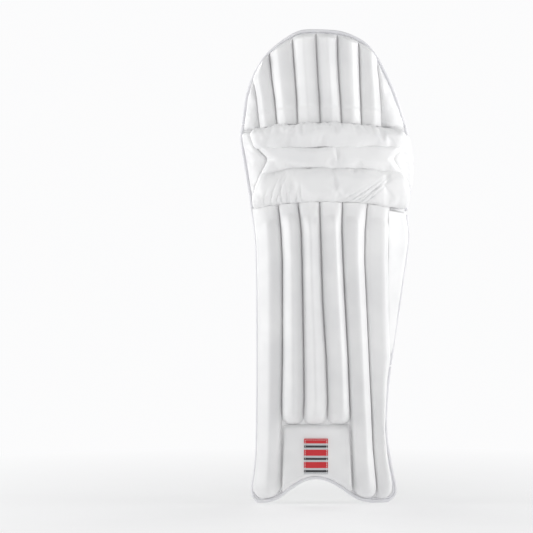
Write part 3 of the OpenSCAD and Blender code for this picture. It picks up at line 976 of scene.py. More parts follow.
def knee_roll(name, low, high, low_edge, high_edge, seed, gathers, dimples, node):
    """A padded roll; low_edge and high_edge say how deep it still is at its borders, as a share.
    A border shared with the next roll fades out towards the side seams."""
    low_shared, high_shared = float(low is not roll_low), float(high is not roll_top)
    region = Region(moved(SEAM_INNER, 0.5), moved(SEAM_WING, -1.1), moved(low, -ROLL_OVERLAP),
                    moved(high, ROLL_OVERLAP), step=2.2)
    s, z = region.s, region.z
    _, _, from_low, from_high = region.gaps
    half = (from_low + from_high) / 2
    w = 1 - from_low / half
    fade = np.clip(1 - np.minimum(region.gaps[0], region.gaps[1]) / 26, 0, 1) ** 1.5
    shared = np.where(w > 0, low_shared, high_shared)
    edge = np.where(w > 0, low_edge, high_edge)
    edge = edge + (0.97 - edge) * fade * shared
    section = edge + (1 - edge) * np.power(np.clip(1 - np.abs(w) ** 2.3, 0, 1), 0.55)
    ends = region.crown(17, 17, 0, 0) ** 0.9
    front = ROLL_O + ROLL_H * section * (0.12 + 0.88 * ends)
    front = front + 0.8 * ripple(s, z, 42, seed, 0.6)
    for at_s, at_z, size, depth in dimples:
        front = front - depth * dent(s, z, (at_s, at_z), size)
    lift = (from_low - from_high) / 2 * ROLL_SWELL * np.clip((front - ROLL_O) / ROLL_H, 0, 1)
    front = np.maximum(front, ROLL_O + 0.4)

    def crumple(s, z):
        total = 0.0
        for start, stop, pitch, slant, deep, length, from_border in gathers:
            gap = np.clip(z - low(s) if from_border == "low" else high(s) - z, 0, None)
            total = total + pleats(s, gap, start, stop, pitch, slant, deep, length, seed + 3)
        return total

    obj = sheet(name, region, front, ROLL_O, cover, lift=lift, ride="knee", slot="cover", replaces=[node],
                crease=60)
    gathered.append((obj, crumple, ROLL_O + 4.0, 1))
    return obj


roll_lower = knee_roll("knee_roll_lower", roll_low, HARD_SEAM, 0.34, 0.6, 31,
                       [(-72, -16, 7, 0.25, 6.5, 20, "low"), (34, 66, 7, 1.0, 4.6, 24, "low"),
                        (-92, 120, 9, 0.0, 1.3, 8, "low"), (-70, 105, 13, 0.1, 0.8, 7, "high")],
                       [(-78, 458, 5, 2.2), (-32, 467, 5, 2.0), (22, 471, 6, 2.4), (91, 477, 6, 2.0)],
                       "knee_roll_lower")
roll_middle = knee_roll("knee_roll_middle", HARD_SEAM, SOFT_SEAM, 0.68, 0.95, 37,
                        [(-66, 100, 12, 0.2, 0.7, 8, "low")],
                        [(25, 514, 4, 2.0), (-59, 506, 5, 1.4)], "knee_roll_middle")
roll_upper = knee_roll("knee_roll_upper", SOFT_SEAM, roll_top, 0.95, 0.3, 41,
                       [(-90, 116, 8, 0.3, 2.6, 9, "high")],
                       [(-77, 538, 5, 2.0), (-46, 548, 4, 2.0), (22, 550, 4, 2.0), (84, 547, 5, 2.0)],
                       "knee_roll_upper")

knee = Region(moved(inner_s, EDGE_INSET), moved(wing_s, -EDGE_INSET), KNEE_LOW, KNEE_TOP, step=5)
sheet("knee_core", knee, BASE_O - 0.4, CORE_BACK_O, cover, ride="knee", slot="cover",
      replaces=["knee_backing"])
sheet("knee_lining", knee, CORE_BACK_O - 0.2, LINING_O, lining_look, ride="knee", slot="lining",
      replaces=["knee_lining"])

FLANK_LOW, FLANK_HIGH = moved(LOW_LINE, -0.3), moved(HIGH_LINE, -1.0)
flank_inner = Region(moved(inner_s, 5.6), moved(SEAM_INNER, -0.4), FLANK_LOW, FLANK_HIGH, step=2.4)


def towards_back(s):
    """0 on the front, rising to 1 where the pad wraps round the wing side, where its bends close."""
    return np.clip((s - along(108)) / 14, 0, 1)


flank_wing = Region(moved(SEAM_WING, 0.9), moved(wing_s, -5.6), FLANK_LOW,
                    lambda s: FLANK_HIGH(s) - 2.5 * towards_back(s), step=2.4)
flanks = []
for side, region in (("inner", flank_inner), ("wing", flank_wing)):
    wide = (16, 5) if side == "inner" else (5, 20)
    bulge = BASE_O + 8.5 * region.crown(*wide, 6, 6) + 0.5 * ripple(region.s, region.z, 30, 51)
    pucker = 0.7 * ripple(region.s, region.z, 6, 52, 2.0) * np.exp(-np.minimum(*region.gaps[2:]) / 6)
    flanks.append(sheet("knee_flank_" + side, region, bulge + pucker, BASE_O - 0.3, cover, ride="knee",
                        slot="cover", replaces=["knee_flank_" + side]))


# ---- Top, front ----

TOP_GROOVES = [
    groove((558, -86), (576, -87.5), (596, -89), (612, -91.5), (640, -97), (700, -108)),
    groove((558, -60), (596, -63), (625, -67), (655, -70), (677, -73), (700, -75)),
    groove((558, -30), (596, -31), (625, -33), (655, -35.4), (691, -37.6), (700, -38)),
    groove((558, 3.7), (596, 2), (625, 0), (655, -1.5), (684, -2.9), (700, -3.5)),
    groove((558, 34.6), (596, 32.4), (625, 30.2), (655, 28.7), (687, 28), (700, 28)),
    groove((558, 63.4), (610, 61), (655, 59.7), (677, 59), (700, 58.5)),
    groove((558, 93.5), (596, 90.7), (625, 88.4), (640, 86.2), (650, 86), (700, 85))]
TOP_CANE_H = 17.5


def top_core_high(s):
    return arch_z(s) - 3.5


def hip(from_low):
    """How far the top's bolsters are pressed flat near their lower ends, with a soft crease above."""
    flat = 1 - 0.38 * np.clip(1 - from_low / 20, 0, 1) ** 0.6
    return flat - 0.16 * np.exp(-((from_low - 22) / 4) ** 2)


for number in range(6):
    left, right = TOP_GROOVES[number], TOP_GROOVES[number + 1]
    if number == 0:
        left = (lambda base: lambda z: np.maximum(base(z), inner_s(z) + 6.0))(left)
    region = Region(moved(left, GROOVE_GAP), moved(right, -GROOVE_GAP), moved(HIGH_LINE, -0.3),
                    moved(arch_z, -6.3), step=1.6, ease_s=True)
    u = region.u * 2 - 1
    _, _, from_low, from_high = region.gaps
    tall = hip(from_low) * np.sqrt(np.clip(from_high / 7.0, 0.0, 1))
    tall = tall * np.sqrt(np.clip(from_low / 1.6, 0.05, 1))
    edge_puckers = ripple(region.s, region.z, 5, 70 + number, 3.0) * np.exp(-from_low / 6) * 0.9
    waves = ripple(region.s, region.z, 60, 80 + number, 3.0) * 0.3
    bulge = BASE_O - 0.2 + TOP_CANE_H * gable(u) * tall + (edge_puckers + waves) * np.clip(tall, 0, 1)
    obj = sheet(f"top_cane_{number + 1}", region, np.maximum(bulge, BASE_O - 0.1), BASE_O - 0.7, cover,
                slot="cover", replaces=["top_bolsters"], crease=75)
    bend_over(obj)

top = Region(lambda z: inner_s(TOP_LOW) + 3.4 + 0 * z, lambda z: wing_s(TOP_LOW) - 3.4 + 0 * z, TOP_LOW,
             lambda s: np.maximum(top_core_high(s), TOP_LOW + 0.5), step=3.6)
sheet("top_core", top, BASE_O - 0.1, CORE_BACK_O, cover, ride="top", slot="cover", replaces=["top_backing"])

top_flank_inner = Region(lambda z: np.minimum(inner_s(z) + 5.8, TOP_GROOVES[0](z) - 0.6),
                         moved(TOP_GROOVES[0], -0.4), moved(HIGH_LINE, 1.0), 628.0, step=2.4)
top_flank_wing = Region(moved(TOP_GROOVES[6], 0.4),
                        lambda z: np.maximum(wing_s(z) - 5.8, TOP_GROOVES[6](z) + 0.6),
                        lambda s: HIGH_LINE(s) + 1.0 + 2.0 * towards_back(s), 652.0, step=2.4)
top_flanks = []
for side, region in (("inner", top_flank_inner), ("wing", top_flank_wing)):
    wide = (12, 4) if side == "inner" else (4, 22)
    bulge = BASE_O + 8.0 * region.crown(*wide, 7, 9) + 0.5 * ripple(region.s, region.z, 26, 61)
    pucker = 0.9 * ripple(region.s + region.z * 0.8, region.z, 7, 62) * np.exp(-region.gaps[2] / 12)
    top_flanks.append(sheet("top_flank_" + side, region, np.maximum(bulge + pucker, BASE_O), BASE_O - 0.5,
                            cover, slot="cover", replaces=["top_flanks"]))


# ---- Linings and rear parts ----

quilt = 0.35 * ripple(core.s, core.z, 40, 90)
sheet("shin_lining", core, CORE_BACK_O - 0.2, LINING_O - 0.2 + quilt, lining_look, ride="shin",
      slot="lining", replaces=["shin_lining"])

# The chevron on the back of the top divides the lining from the mesh
CHEVRON_X, CHEVRON_Z, CHEVRON_RISE = 6.0, 568.0, 0.58


def chevron_z(s):
    return CHEVRON_Z + CHEVRON_RISE * np.abs(arc(s, LINING_O)[0] - CHEVRON_X)


def under_arch(drop, limit):
    """The lower one of the arch, less drop, and another limit, both over s."""
    return lambda s: np.maximum(np.minimum(arch_z(s) - drop, limit(s)), TOP_LOW + 0.6)


def meeting(side):
    """The s at which the chevron meets the top edge, on the inner (-1) or wing (1) side."""
    s = side * np.linspace(20, 130, 800)
    return float(s[np.argmax(arch_z(s) - 5.0 < chevron_z(s))])


wide_inner, wide_wing = float(inner_s(TOP_LOW)) + 3.6, float(wing_s(TOP_LOW)) - 3.6
strip_inner, strip_wing = meeting(-1), meeting(1)
mesh_part = Region(wide_inner, wide_wing, TOP_LOW, under_arch(3.6, moved(chevron_z, -3)), step=3.0)
folds = ripple(mesh_part.s, mesh_part.z, 9, 95, 3.0) * np.exp(-mesh_part.gaps[2] / 10)
sheet("top_mesh", mesh_part, CORE_BACK_O - 0.2, LINING_O + 0.9 * folds + 0.4 * ripple(
    mesh_part.s, mesh_part.z, 30, 96), mesh_look, ride="top", slot="mesh", replaces=["top_mesh"])
upper_part = Region(strip_inner, strip_wing, moved(chevron_z, 2.5), moved(top_core_high, -0.1), step=3.0)
drape = 0.9 * np.sin(upper_part.s / 9.0 + 1.2 * ripple(upper_part.s, upper_part.z, 60, 97, 3.0))
drape = drape * np.clip(upper_part.gaps[2] / 10, 0, 1) * np.clip(upper_part.gaps[3] / 14, 0, 1)
drape = drape * (1 - dent(upper_part.s, upper_part.z, (3, 640), 34))
sheet("top_lining", upper_part, CORE_BACK_O - 0.2, LINING_O - 1.0 + 1.0 * drape, top_lining_look, ride="top",
      slot="lining", replaces=["top_lining"])
strip_part = Region(strip_inner, strip_wing, moved(chevron_z, -3.4), moved(chevron_z, 3.4), step=3.0)
sheet("top_chevron", strip_part, CORE_BACK_O, LINING_O - 1.1 - 0.5 * strip_part.crown(0, 0, 3, 3),
      lime_coated, ride="top", slot="lime", replaces=["top_chevron"])


def strip_line(offset):
    """(s, z) points that run beside the chevron, offset in z."""
    x = np.linspace(-100, 116, 90)
    z = CHEVRON_Z + CHEVRON_RISE * np.abs(x - CHEVRON_X) + offset
    keep = (z < np.interp(x, TOP_EDGE[:, 0], TOP_EDGE[:, 1]) - 5) & (z > TOP_LOW + 2)
    return np.stack([along(x[keep], LINING_O), z[keep]], axis=1)


cord("top_chevron_edge", strip_line(-4.6), 1.5, 1.2, LINING_O - 1.2, binding_look, ride="top", slot="piping")


def patch(name, inner, wing, low, high, back, look, ride, slot, replaces, thick=1.1, radius=1.6, step=2.5):
    """A small flat sewn patch on the rear, between two x and two z."""
    region = Region(float(along(inner, back)), float(along(wing, back)), low, high, step=step)
    face = back - thick * (0.35 + 0.65 * region.crown(radius, radius, radius, radius))
    return sheet(name, region, face, back, look, ride=ride, slot=slot, replaces=replaces)


def box_path(inner, wing, low, high, inset, o):
    """(s, z) corners of a patch's seam, inset from its border."""
    s0, s1 = float(along(inner, o)) + inset, float(along(wing, o)) - inset
    return [[s0, low + inset], [s1, low + inset], [s1, high - inset], [s0, high - inset], [s0, low + inset]]


# The top label lies over the lining's folds
LABEL_TOP_O = LINING_O - 2.4
TOP_LABEL = (-14, 20, 600, 680)
patch("top_label", *TOP_LABEL, LABEL_TOP_O + 0.5, label_look, "top", "label", ["top_label"])
stitches("top_label_stitches", [box_path(*TOP_LABEL, 1.6, LABEL_TOP_O)], LABEL_TOP_O - 0.8,
         thread_look, ride="top", slot="label", pitch=2.6, length=1.8)

INSTEP_LABEL = (-20, 14, 45.0, 97.0)
label_inner, label_wing = (float(along(x, 5)) for x in INSTEP_LABEL[:2])
label = Region(label_inner, label_wing, *INSTEP_LABEL[2:], step=2.5)
label_o = BASE_O + PANEL_H + 1.9


def panel_skin(s, z, o):
    """The pad's skin, tilted as the instep panel is."""
    return pad_skin(s, z, o + panel_slope(z))


sheet("instep_label", label, label_o + 0.2 + 0.8 * label.crown(2, 2, 2, 2), label_o - 1.2, label_look,
      skin=panel_skin, ride="shin", slot="label", replaces=["instep_label"])
stitches("instep_label_stitches", [box_path(*INSTEP_LABEL, 1.8, 5)], label_o + 1.2, thread_look,
         skin=panel_skin, ride="shin", slot="label", pitch=2.6, length=1.8)

# The leg bolsters' lowest and highest z, and their height
BOLSTER_LOW, BOLSTER_HIGH, BOLSTER_H = 112.0, 428.0, 24.0
# Half a leg bolster's width at its lower and upper end
BOLSTER_LOW_HALF, BOLSTER_HIGH_HALF = 20.5, 25.5


def leg_bolster(name, low_s, high_s, seed):
    left = line((BOLSTER_LOW, low_s - BOLSTER_LOW_HALF), (BOLSTER_HIGH, high_s - BOLSTER_HIGH_HALF))
    right = line((BOLSTER_LOW, low_s + BOLSTER_LOW_HALF), (BOLSTER_HIGH, high_s + BOLSTER_HIGH_HALF))
    region = Region(left, right, BOLSTER_LOW - 1, BOLSTER_HIGH + 2, step=4.0, ease_s=True)
    height = BOLSTER_H * 0.94 * region.crown(17, 17, 20, 20) ** 0.8
    wave = 0.5 * ripple(region.s, region.z, 60, seed, 2.0)
    back = LINING_O + 0.3
    return sheet(name, region, back - 0.6 - np.maximum(height + wave, 0.2), back, bolster_look, ride="shin",
                 slot="pillow", replaces=[name])


bolsters = [leg_bolster("leg_bolster_wing", 60, 60, 101), leg_bolster("leg_bolster_inner", -56, -55, 103)]

strip = Region(STRIP_INNER - 1.5, STRIP_WING + 3.0, 110.0, 430.0, step=1.0)
ribs = 0.25 * np.sin(strip.z * math.pi)
sheet("shin_strip", strip, LINING_O - 2.6 - 0.8 * strip.crown(3, 3, 3, 3) + ribs * strip.crown(2, 2, 2, 2),
      LINING_O + 0.2, teal_look, ride="shin", slot="teal", replaces=["shin_strip"], crease=80)

lime_inner = line((110, 77.5), (162, 79.0), (293, 87.0), (430, 91.5))
lime_outer = line((110, 85.0), (162, 87.0), (293, 98.0), (430, 104.0))
lime_strip = Region(lambda z: along(lime_inner(z), LINING_O), lambda z: along(lime_outer(z), LINING_O),
                    110.0, 431.0, step=1.6)
sheet("bolster_piping", lime_strip, LINING_O - 1.0 - 4.6 * lime_strip.crown(6, 6, 5, 5), LINING_O + 0.2,
      lime_tape, ride="shin", slot="lime", replaces=["bolster_piping"])
cord_z = np.linspace(112, 430, 80)
cord("bolster_cord", np.stack([along(lime_inner(cord_z) - 0.8, LINING_O), cord_z], axis=1), 1.5, 1.6,
     LINING_O - 3.2, binding_look, ride="shin", slot="piping")

# The ankle pads' x limits
PAD_EDGES = [(-88.5, -49.0), (-48.0, 38.0), (39.0, 98.0)]


def ankle_pad(number, inner, wing):
    region = Region(lambda z: np.maximum(inner_s(z) + 6.6, along(inner, LINING_O)) if number == 0
                    else along(inner, LINING_O) + 0 * z,
                    lambda z: wing_s(z) - 6.6 if number == 2 else along(wing, LINING_O) + 0 * z,
                    moved(foot_z, 8.5), 108.0, step=3.0)
    face = LINING_O - 0.8 - 6.6 * region.crown(9, 9, 11, 8)
    face = face - 0.3 * ripple(region.s, region.z, 26, 110 + number)
    return sheet(f"ankle_pad_{number + 1}", region, face, LINING_O + 0.3, pillow_look, ride="shin",
                 slot="lining", replaces=["ankle_pads"])


ankle_pads = [ankle_pad(number, *edges) for number, edges in enumerate(PAD_EDGES)]

# Knee pillows
PILLOW_LOW, PILLOW_HIGH, PILLOW_H = 443.0, 547.0, 21.0
# How far a pillow's corners are drawn in, along z and along s
PINCH_Z, PINCH_S = 4.0, 2.5


def pillow(name, inner, wing, look, slot, seed, shoulder=0.0):
    """A stuffed pillow between two x; shoulder thins it towards the wing edge."""
    first, last = float(along(inner, -20)), float(along(wing, -12))
    middle_z = (PILLOW_LOW + PILLOW_HIGH) / 2

    def off_s(s):
        return np.clip(np.abs(2 * s - first - last) / (last - first), 0, 1) ** 4

    def off_z(z):
        return np.clip(np.abs(z - middle_z) / (PILLOW_HIGH - middle_z), 0, 1) ** 4

    region = Region(lambda z: first + PINCH_S * off_z(z), lambda z: last - PINCH_S * off_z(z),
                    lambda s: PILLOW_LOW + PINCH_Z * off_s(s), lambda s: PILLOW_HIGH - PINCH_Z * off_s(s),
                    step=2.4)
    height = PILLOW_H * region.crown(14, 14, 16, 16) ** 0.85
    if shoulder:
        height = height * (1 - shoulder * np.clip(1 - region.gaps[1] / 34, 0, 1))

    def crumple(s, z):
        low, high = np.clip(z - PILLOW_LOW, 0, None), np.clip(PILLOW_HIGH - z, 0, None)
        below = pleats(s, low, first, last, 9, 0.0, 2.6, 15, seed)
        return below + pleats(s, high, first, last, 8, 0.0, 2.8, 17, seed + 1)

    back = LINING_O + 0.3
    obj = sheet(name, region, back - 0.8 - np.maximum(height, 0.3), back, look, ride="knee", slot=slot,
                replaces=[name])
    gathered.append((obj, crumple, LINING_O - 4.0, -1))
    return obj


pillows = [
    pillow("knee_pillow_wing", 45.5, 130.0, pillow_look, "pillow", 121, shoulder=0.55),
    pillow("knee_pillow_center", -24.0, 44.5, towel_look, "towelling", 123),
    pillow("knee_pillow_inner", -84.0, -25.0, pillow_look, "pillow", 125)]


# ---- Fabric that crosses the creases ----


# How far the fabric reaches past a crease, its binding too, and how far the bend itself does
CREASE_REACH, BINDING_REACH, BEND_REACH = 12.0, 9.0, 4.5


def knee_hinge(obj):
    bend_over(obj)


def crease_low_limit(crease_z):
    """Where a crease's fabric starts: above the wing, which moves by itself."""
    low = crease_z - CREASE_REACH
    return lambda s: np.where(s > along(WING_X - 3), max(WING_TOP + 0.5, low), low)


for name, a, b, crease_z in (("low", "shin", "knee", LOW_CREASE), ("high", "knee", "top", HIGH_CREASE)):
    join = Region(moved(inner_s, 3.2), moved(wing_s, -3.2), crease_low_limit(crease_z),
                  crease_z + CREASE_REACH, step=2.0)
    knee_hinge(sheet("crease_" + name, join, BASE_O - 0.6, CORE_BACK_O, cover, slot="cover"))
    back_look, back_slot = (lining_look, "lining") if name == "low" else (mesh_look, "mesh")
    tuck = 0.2 * ripple(join.s, join.z, 8, 131, 2.0)
    knee_hinge(sheet("crease_" + name + "_back", join, CORE_BACK_O - 0.3, LINING_O - 0.5 + tuck, back_look,
                     slot=back_slot))
    for side, edge in (("wing", WING_EDGE), ("inner", INNER_EDGE)):
        run = between(edge, crease_z - BINDING_REACH, crease_z + BINDING_REACH)
        knee_hinge(cord(f"crease_{name}_binding_{side}", rim_path(run, RIM_ACROSS), RIM_ACROSS + 0.12,
                        RIM_DEPTH + 0.12, RIM_O, binding_look, slot="piping"))


# ---- Straps ----

# How far back the straps run, how thick they are, and where their end pieces start
STRAP_Y, STRAP_T, TAB_X = 88.0, 2.4, 62.0
# Insets from a strap's border: webbing, end piece, the middle of the edge tape, and the hook patch
WEB_INSET, TAB_INSET, TAPE_INSET, HOOK_INSET = 0.6, 1.2, 2.4, 5.5
# Insets of the stitches on the webbing and on the end piece
WEB_STITCH, TAB_STITCH = 5.6, 6.2
TAPE_HALF = 2.6
# The calf strap's patch: x limits and half its height
CALF_PATCH = (84, 112, 16.0)
ANCHOR_W = 12


class Strap:
    """A strap's own skin: t runs along its path, z across it, and o out of it, away from the leg."""

    def __init__(self, name, root, anchor, tilt, end_x, pointed):
        self.name, self.tilt, self.root = name, math.radians(tilt), root
        self.end_x, self.pointed = end_x, pointed
        anchor_low, anchor_high = corners(name + "_anchor")
        self.z = (anchor_low[2] + anchor_high[2]) / 2
        # A tilted strap's own box is taller than the strap, so its anchor gives the width
        wide_low, wide_high = (anchor_low, anchor_high) if tilt else corners(name + "_tab")
        self.width = wide_high[2] - wide_low[2]
        rx, ry = root
        points = smooth([root, (rx + 6, ry + 20), (-62, STRAP_Y - 10), (0, STRAP_Y - 2),
                         (TAB_X - 1, STRAP_Y), (TAB_X + 1, STRAP_Y), (100, STRAP_Y - 1), (134, STRAP_Y - 6)])
        hook = smooth([anchor, (anchor[0] - 4.5, anchor[1] + 3), (rx - 1.5, ry - 5), root], 6)[:-1]
        self.path = resample(np.vstack([hook, points]), 2.0)
        self.run = run_along(self.path)
        self.normal = headings(self.path)[1]

    def at_x(self, x):
        """How far along the path the strap reaches an x on its way to the wing."""
        late = self.run > 60
        return float(np.interp(x, self.path[late, 0], self.run[late]))

    def skin(self, t, z, o):
        t, z, o = np.broadcast_arrays(np.asarray(t, float), z, o)
        x = np.interp(t, self.run, self.path[:, 0]) + o * np.interp(t, self.run, self.normal[:, 0])
        y = np.interp(t, self.run, self.path[:, 1]) + o * np.interp(t, self.run, self.normal[:, 1])
        flat_x, flat_z = x - self.root[0], z
        x = self.root[0] + flat_x * math.cos(self.tilt) - flat_z * math.sin(self.tilt)
        up = self.z + flat_x * math.sin(self.tilt) + flat_z * math.cos(self.tilt)
        return (np.stack([x, y, up], axis=-1) + ORIGIN) * MM

    def tie(self, obj, a, b, start, end):
        """Bakes a piece's placement into its mesh. The strap's points at start and end, as distances along
        it, are worked out but not used; a and b are not used.
        """
        spots = self.skin(np.array([start, end]), 0.0, 0.0)
        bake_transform(obj)


def build_strap(strap, seed):
    name, half = strap.name, strap.width / 2
    web_body, end_body = name + "_strap", name + "_strap_end"
    root_t = float(np.interp(strap.root[1], strap.path[:40, 1], strap.run[:40]))
    web_end = strap.at_x(TAB_X - 0.6)

    def rooted(obj):
        start = strap.skin(np.array([root_t - 7, root_t + 9]), 0.0, 0.0)
        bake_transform(obj)

    web = Region(0.0, web_end, -half + WEB_INSET, half - WEB_INSET, step=3.0)
    sag = 0.35 * ripple(web.s, web.z, 45, seed)
    checks = narrow_look if name == "knee" else webbing_look
    rooted(sheet(name + "_webbing", web, STRAP_T + sag, sag, checks, skin=strap.skin, slot="webbing",
                 replaces=[name + "_webbing"]))
    for side, side_name in ((-1, "low"), (1, "high")):
        edge = np.stack([np.linspace(0.4, web_end, 110), np.full(110, side * (half - TAPE_INSET))], axis=1)
        rooted(cord(f"{name}_webbing_edge_{side_name}", edge, TAPE_HALF, STRAP_T / 2 + 0.7, STRAP_T / 2,
                    lime_tape, skin=strap.skin, power=3.5, slot="lime"))

    tab_start, tab_end = strap.at_x(TAB_X - 9), strap.at_x(strap.end_x)
    round_len = half if strap.pointed else 13.0

    def tab_half(t, inset=0.0):
        """Half of the tab's width at a distance along the strap."""
        left = np.clip((tab_end - inset - t) / round_len, 0, 1)
        curve = left ** 0.85 if strap.pointed else quarter_round(left)
        return (half - inset) * np.maximum(curve, 0.02)

    t0, t1 = strap.at_x(TAB_X - 4), strap.at_x(TAB_X + 6)
    tab = Region(tab_start, tab_end - TAB_INSET, lambda t: -tab_half(t, TAB_INSET),
                 lambda t: tab_half(t, TAB_INSET), step=2.0)
    cushion = 0.5 * tab.crown(4, 4, 4, 4)
    face = webbing_look if strap.pointed else tab_look
    strap.tie(sheet(name + "_tab", tab, STRAP_T + 0.5 + cushion, -0.5, face, skin=strap.skin, slot="tab",
                    replaces=[name + "_tab"]), web_body, end_body, t0, t1)
    t = np.linspace(tab_start, tab_end - TAPE_INSET, 90)
    edge = tab_half(t, TAPE_INSET)
    tip = np.linspace(-1, 1, 15)[1:-1] * tab_half(tab_end - TAPE_INSET - 0.2, TAPE_INSET)
    rim = np.vstack([np.stack([t, -edge], axis=1), np.stack([0 * tip + tab_end - TAPE_INSET, tip], axis=1),
                     np.stack([t, edge], axis=1)[::-1]])
    strap.tie(cord(name + "_tab_edge", resample(rim, 2.0), TAPE_HALF + 0.1, STRAP_T / 2 + 1.1, STRAP_T / 2,
                   lime_coated, skin=strap.skin, power=3.5, slot="lime"), web_body, end_body, t0, t1)
    rows = []
    if not strap.pointed:
        rows = [[[tab_start + step, -half + 5], [tab_start + step, half - 5]] for step in (2.2, 6.0)]
    for side in (-1, 1):
        run = np.linspace(tab_start + 2, tab_end - round_len, 40)
        rows.append(np.stack([run, side * tab_half(run, TAB_STITCH)], axis=1))
    strap.tie(stitches(name + "_tab_stitches", rows, STRAP_T + 1.0, thread_look, skin=strap.skin, slot="tab"),
              web_body, end_body, t0, t1)
    web_rows = [np.stack([np.linspace(6, web_end - 8, 60), np.full(60, side * (half - WEB_STITCH))], axis=1)
                for side in (-1, 1)]
    rooted(stitches(name + "_webbing_stitches", web_rows, STRAP_T + 0.3, lime_thread, skin=strap.skin,
                    slot="lime", pitch=4.0))
    hook_end = strap.at_x(corners(name + "_hook_patch")[1][0] - ORIGIN[0])
    hooks = Region(strap.at_x(TAB_X + 6.5), hook_end, -half + HOOK_INSET, half - HOOK_INSET, step=2.5)
    sheet(name + "_hook_patch", hooks, -0.4, -1.7 + 0.3 * (1 - hooks.crown(2, 2, 2, 2)), hook_look,
          skin=strap.skin, ride=end_body, slot="hook", replaces=[name + "_hook_patch"])
    if name == "calf":
        first_x, last_x, tag_half = CALF_PATCH
        tag = Region(strap.at_x(first_x), strap.at_x(last_x), -tag_half, tag_half, step=2.0)
        sheet("calf_tab_patch", tag, STRAP_T + 1.2 + 0.5 * tag.crown(2, 2, 2, 2), STRAP_T + 0.4, label_look,
              skin=strap.skin, ride=end_body, slot="label")


# Each strap's root and anchor, its tilt in degrees, the x of its end, and whether it ends in a point
straps = [
    Strap("knee", (-99, 50), (-92, 33.5), 4.0, 134, False),
    Strap("calf", (-87, 43), (-81, 27.5), 0.0, 126, False),
    Strap("ankle", (-87, 43), (-81, 27.5), 0.0, 102, True)]
for number, strap in enumerate(straps):
    build_strap(strap, 140 + number)

for name, body in (("knee_anchor", "knee"), ("calf_anchor", "shin"), ("ankle_anchor", "shin")):
    low, high = corners(name)
    inner = -104 if body == "knee" else -91
    patch(name, inner, inner + ANCHOR_W, low[2] + 0.5, high[2] - 0.5, LINING_O + 0.1, webbing_look, body,
          "webbing", [name], thick=3.6, radius=2.4, step=2.0)
    middle_s = float(along(inner + ANCHOR_W / 2, LINING_O))
    cross = [[[middle_s - 3.5, low[2] + 4], [middle_s + 3.5, high[2] - 4]],
             [[middle_s + 3.5, low[2] + 4], [middle_s - 3.5, high[2] - 4]]]
    stitches(name + "_stitches", cross, LINING_O - 3.5, lime_thread, ride=body, slot="webbing", pitch=3.0)


# ---- Swelling, gathers, and baked placements of pieces that are soft by then ----


def sewn(front_side):
    """Marks the points of a piece that face into the pad, and so stay where they are sewn."""
    def still(points, normals):
        facing = (normals * outward(unroll(points)[0])).sum(axis=1) * (1 if front_side else -1)
        return facing < 0.05
    return still


def gather(obj, crumple, from_o, side):
    """Moves a piece's points over a given height in or out by its gathers."""
    points = read(obj.data) / MM - ORIGIN
    s, o = unroll(points)
    share = np.clip((o - from_o) * side / 6.0, 0, 1)
    step = outward(s) * (crumple(s, points[:, 2]) * share * side)[:, None]
    write(obj.data, (points + step + ORIGIN) * MM)


rolls = [roll_lower, roll_middle, roll_upper]
fronts = flanks + top_flanks + [instep]
backs = bolsters + pillows + ankle_pads
# Parts, how far they may swell, pressure, spare cloth, and whether they are on the front
swellings = [(rolls, 2.2, 2.0, 0.04, True), (fronts, 1.6, 2.0, 0.05, True), (backs, 2.6, 2.5, 0.06, False)]
for parts, cap, pressure, spare, on_front in swellings:
    for part in parts:
        puff(part, cap, pressure, spare, sewn(on_front))
simulate()
for part in rolls + fronts + backs:
    refine(part)
for obj, crumple, from_o, side in gathered:
    gather(obj, crumple, from_o, side)
crossing_wing(wing_cover)
crossing_wing(wing_back)
for part in top_flanks:
    bend_over(part)

for node, look in (("shin_rods", wood_look), ("top_rods", wood_look), ("knee_plate", plate_look)):
    materials = frame["nodes"][node].data.materials
    materials.clear()
    materials.append(look)


# ---- Floor, light and camera ----

BACKDROP = (0.97, 0.97, 0.975)


def world():
    scene = bpy.context.scene
    scene.world = bpy.data.worlds.new("studio")
    scene.world.use_nodes = True
    nodes, links = scene.world.node_tree.nodes, scene.world.node_tree.links
    nodes.clear()
    seen = nodes.new("ShaderNodeBackground")
    seen.inputs["Color"].default_value = (*BACKDROP, 1)
    lit = nodes.new("ShaderNodeBackground")
    lit.inputs["Color"].default_value = (0.98, 0.99, 1.0, 1)
    lit.inputs["Strength"].default_value = 0.3
    path = nodes.new("ShaderNodeLightPath")
    mix = nodes.new("ShaderNodeMixShader")
    end = nodes.new("ShaderNodeOutputWorld")
    links.new(path.outputs["Is Camera Ray"], mix.inputs[0])
    links.new(lit.outputs[0], mix.inputs[1])
    links.new(seen.outputs[0], mix.inputs[2])
    links.new(mix.outputs[0], end.inputs["Surface"])


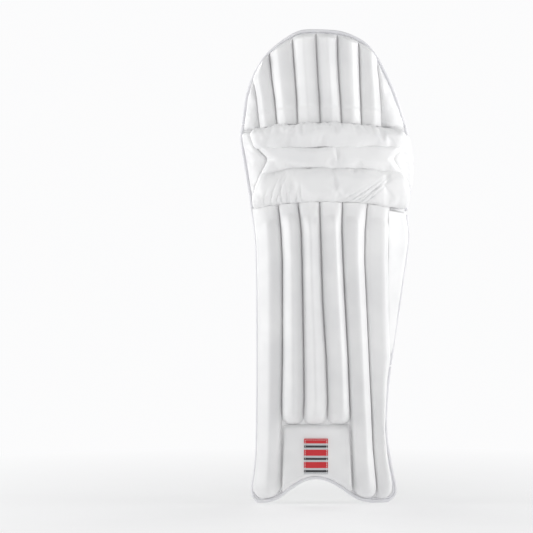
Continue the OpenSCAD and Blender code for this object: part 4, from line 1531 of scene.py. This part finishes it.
def floor():
    """A pale floor that fades into the backdrop away from the pad."""
    mesh = bpy.data.meshes.new("floor")
    reach = 30.0
    mesh.from_pydata([(-reach, -reach, 0), (reach, -reach, 0), (reach, reach, 0), (-reach, reach, 0)], [],
                     [(0, 1, 2, 3)])
    obj = bpy.data.objects.new("floor", mesh)
    bpy.context.scene.collection.objects.link(obj)
    look = Look("floor")
    far = look.add("VectorMath", {0: look.place}, output="Value", operation="LENGTH")
    share = look.fit(far, 0.2, 1.1, 0.5, 1.0)
    tone = look.mix(look.fit(look.noise(90), 0.3, 0.7), (0.86, 0.86, 0.865), (0.88, 0.88, 0.885))
    near = look.add("BsdfPrincipled", {"Base Color": tone, "Roughness": 0.6})
    glow = look.add("Emission", {"Color": (*BACKDROP, 1)})
    mesh.materials.append(look.close(look.add("MixShader", {0: share, 1: near, 2: glow})))
    obj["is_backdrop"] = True


def area(name, spot, target, size, power):
    light = bpy.data.lights.new(name, "AREA")
    light.shape = "RECTANGLE"
    light.size, light.size_y = size
    light.energy = power
    obj = bpy.data.objects.new(name, light)
    bpy.context.scene.collection.objects.link(obj)
    obj.location = spot
    direction = np.array(target, float) - np.array(spot, float)
    obj.rotation_euler = Vector(direction).to_track_quat("-Z", "Y").to_euler()


world()
floor()
area("left", (-2.1, -0.25, 0.6), (0, 0, 0.35), (0.8, 1.9), 21)
area("right", (2.1, -0.25, 0.6), (0, 0, 0.35), (0.8, 1.9), 24)
area("front", (0.0, -3.2, 1.1), (0, 0, 0.32), (2.4, 1.2), 17.5)
area("overhead", (0.0, -0.5, 2.4), (0, 0, 0.3), (1.4, 1.4), 8)
area("rear_left", (-1.7, 1.9, 1.0), (0, 0, 0.35), (1.2, 1.4), 20)
area("rear_right", (1.7, 1.9, 1.0), (0, 0, 0.35), (1.2, 1.4), 20)

# The width of the view at the pad, its middle, and the camera's place, in millimetres
FRAME_W, FRAME_CENTRE_X, FRAME_CENTRE_Z = 785.6, -76.0, 350.0
CAMERA_X, CAMERA_FAR, SENSOR = 10.0, 3600.0, 36.0
camera_data = bpy.data.cameras.new("camera")
camera = bpy.data.objects.new("camera", camera_data)
bpy.context.scene.collection.objects.link(camera)
camera_data.sensor_width = SENSOR
camera_data.lens = SENSOR * CAMERA_FAR / FRAME_W
camera_data.shift_x = (FRAME_CENTRE_X - CAMERA_X) / FRAME_W
camera.location = (np.array([CAMERA_X, -CAMERA_FAR, FRAME_CENTRE_Z]) + ORIGIN) * MM
camera.rotation_euler = (math.radians(90), 0, 0)
bpy.context.scene.camera = camera
bpy.context.scene.view_settings.view_transform = "Standard"

low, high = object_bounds()
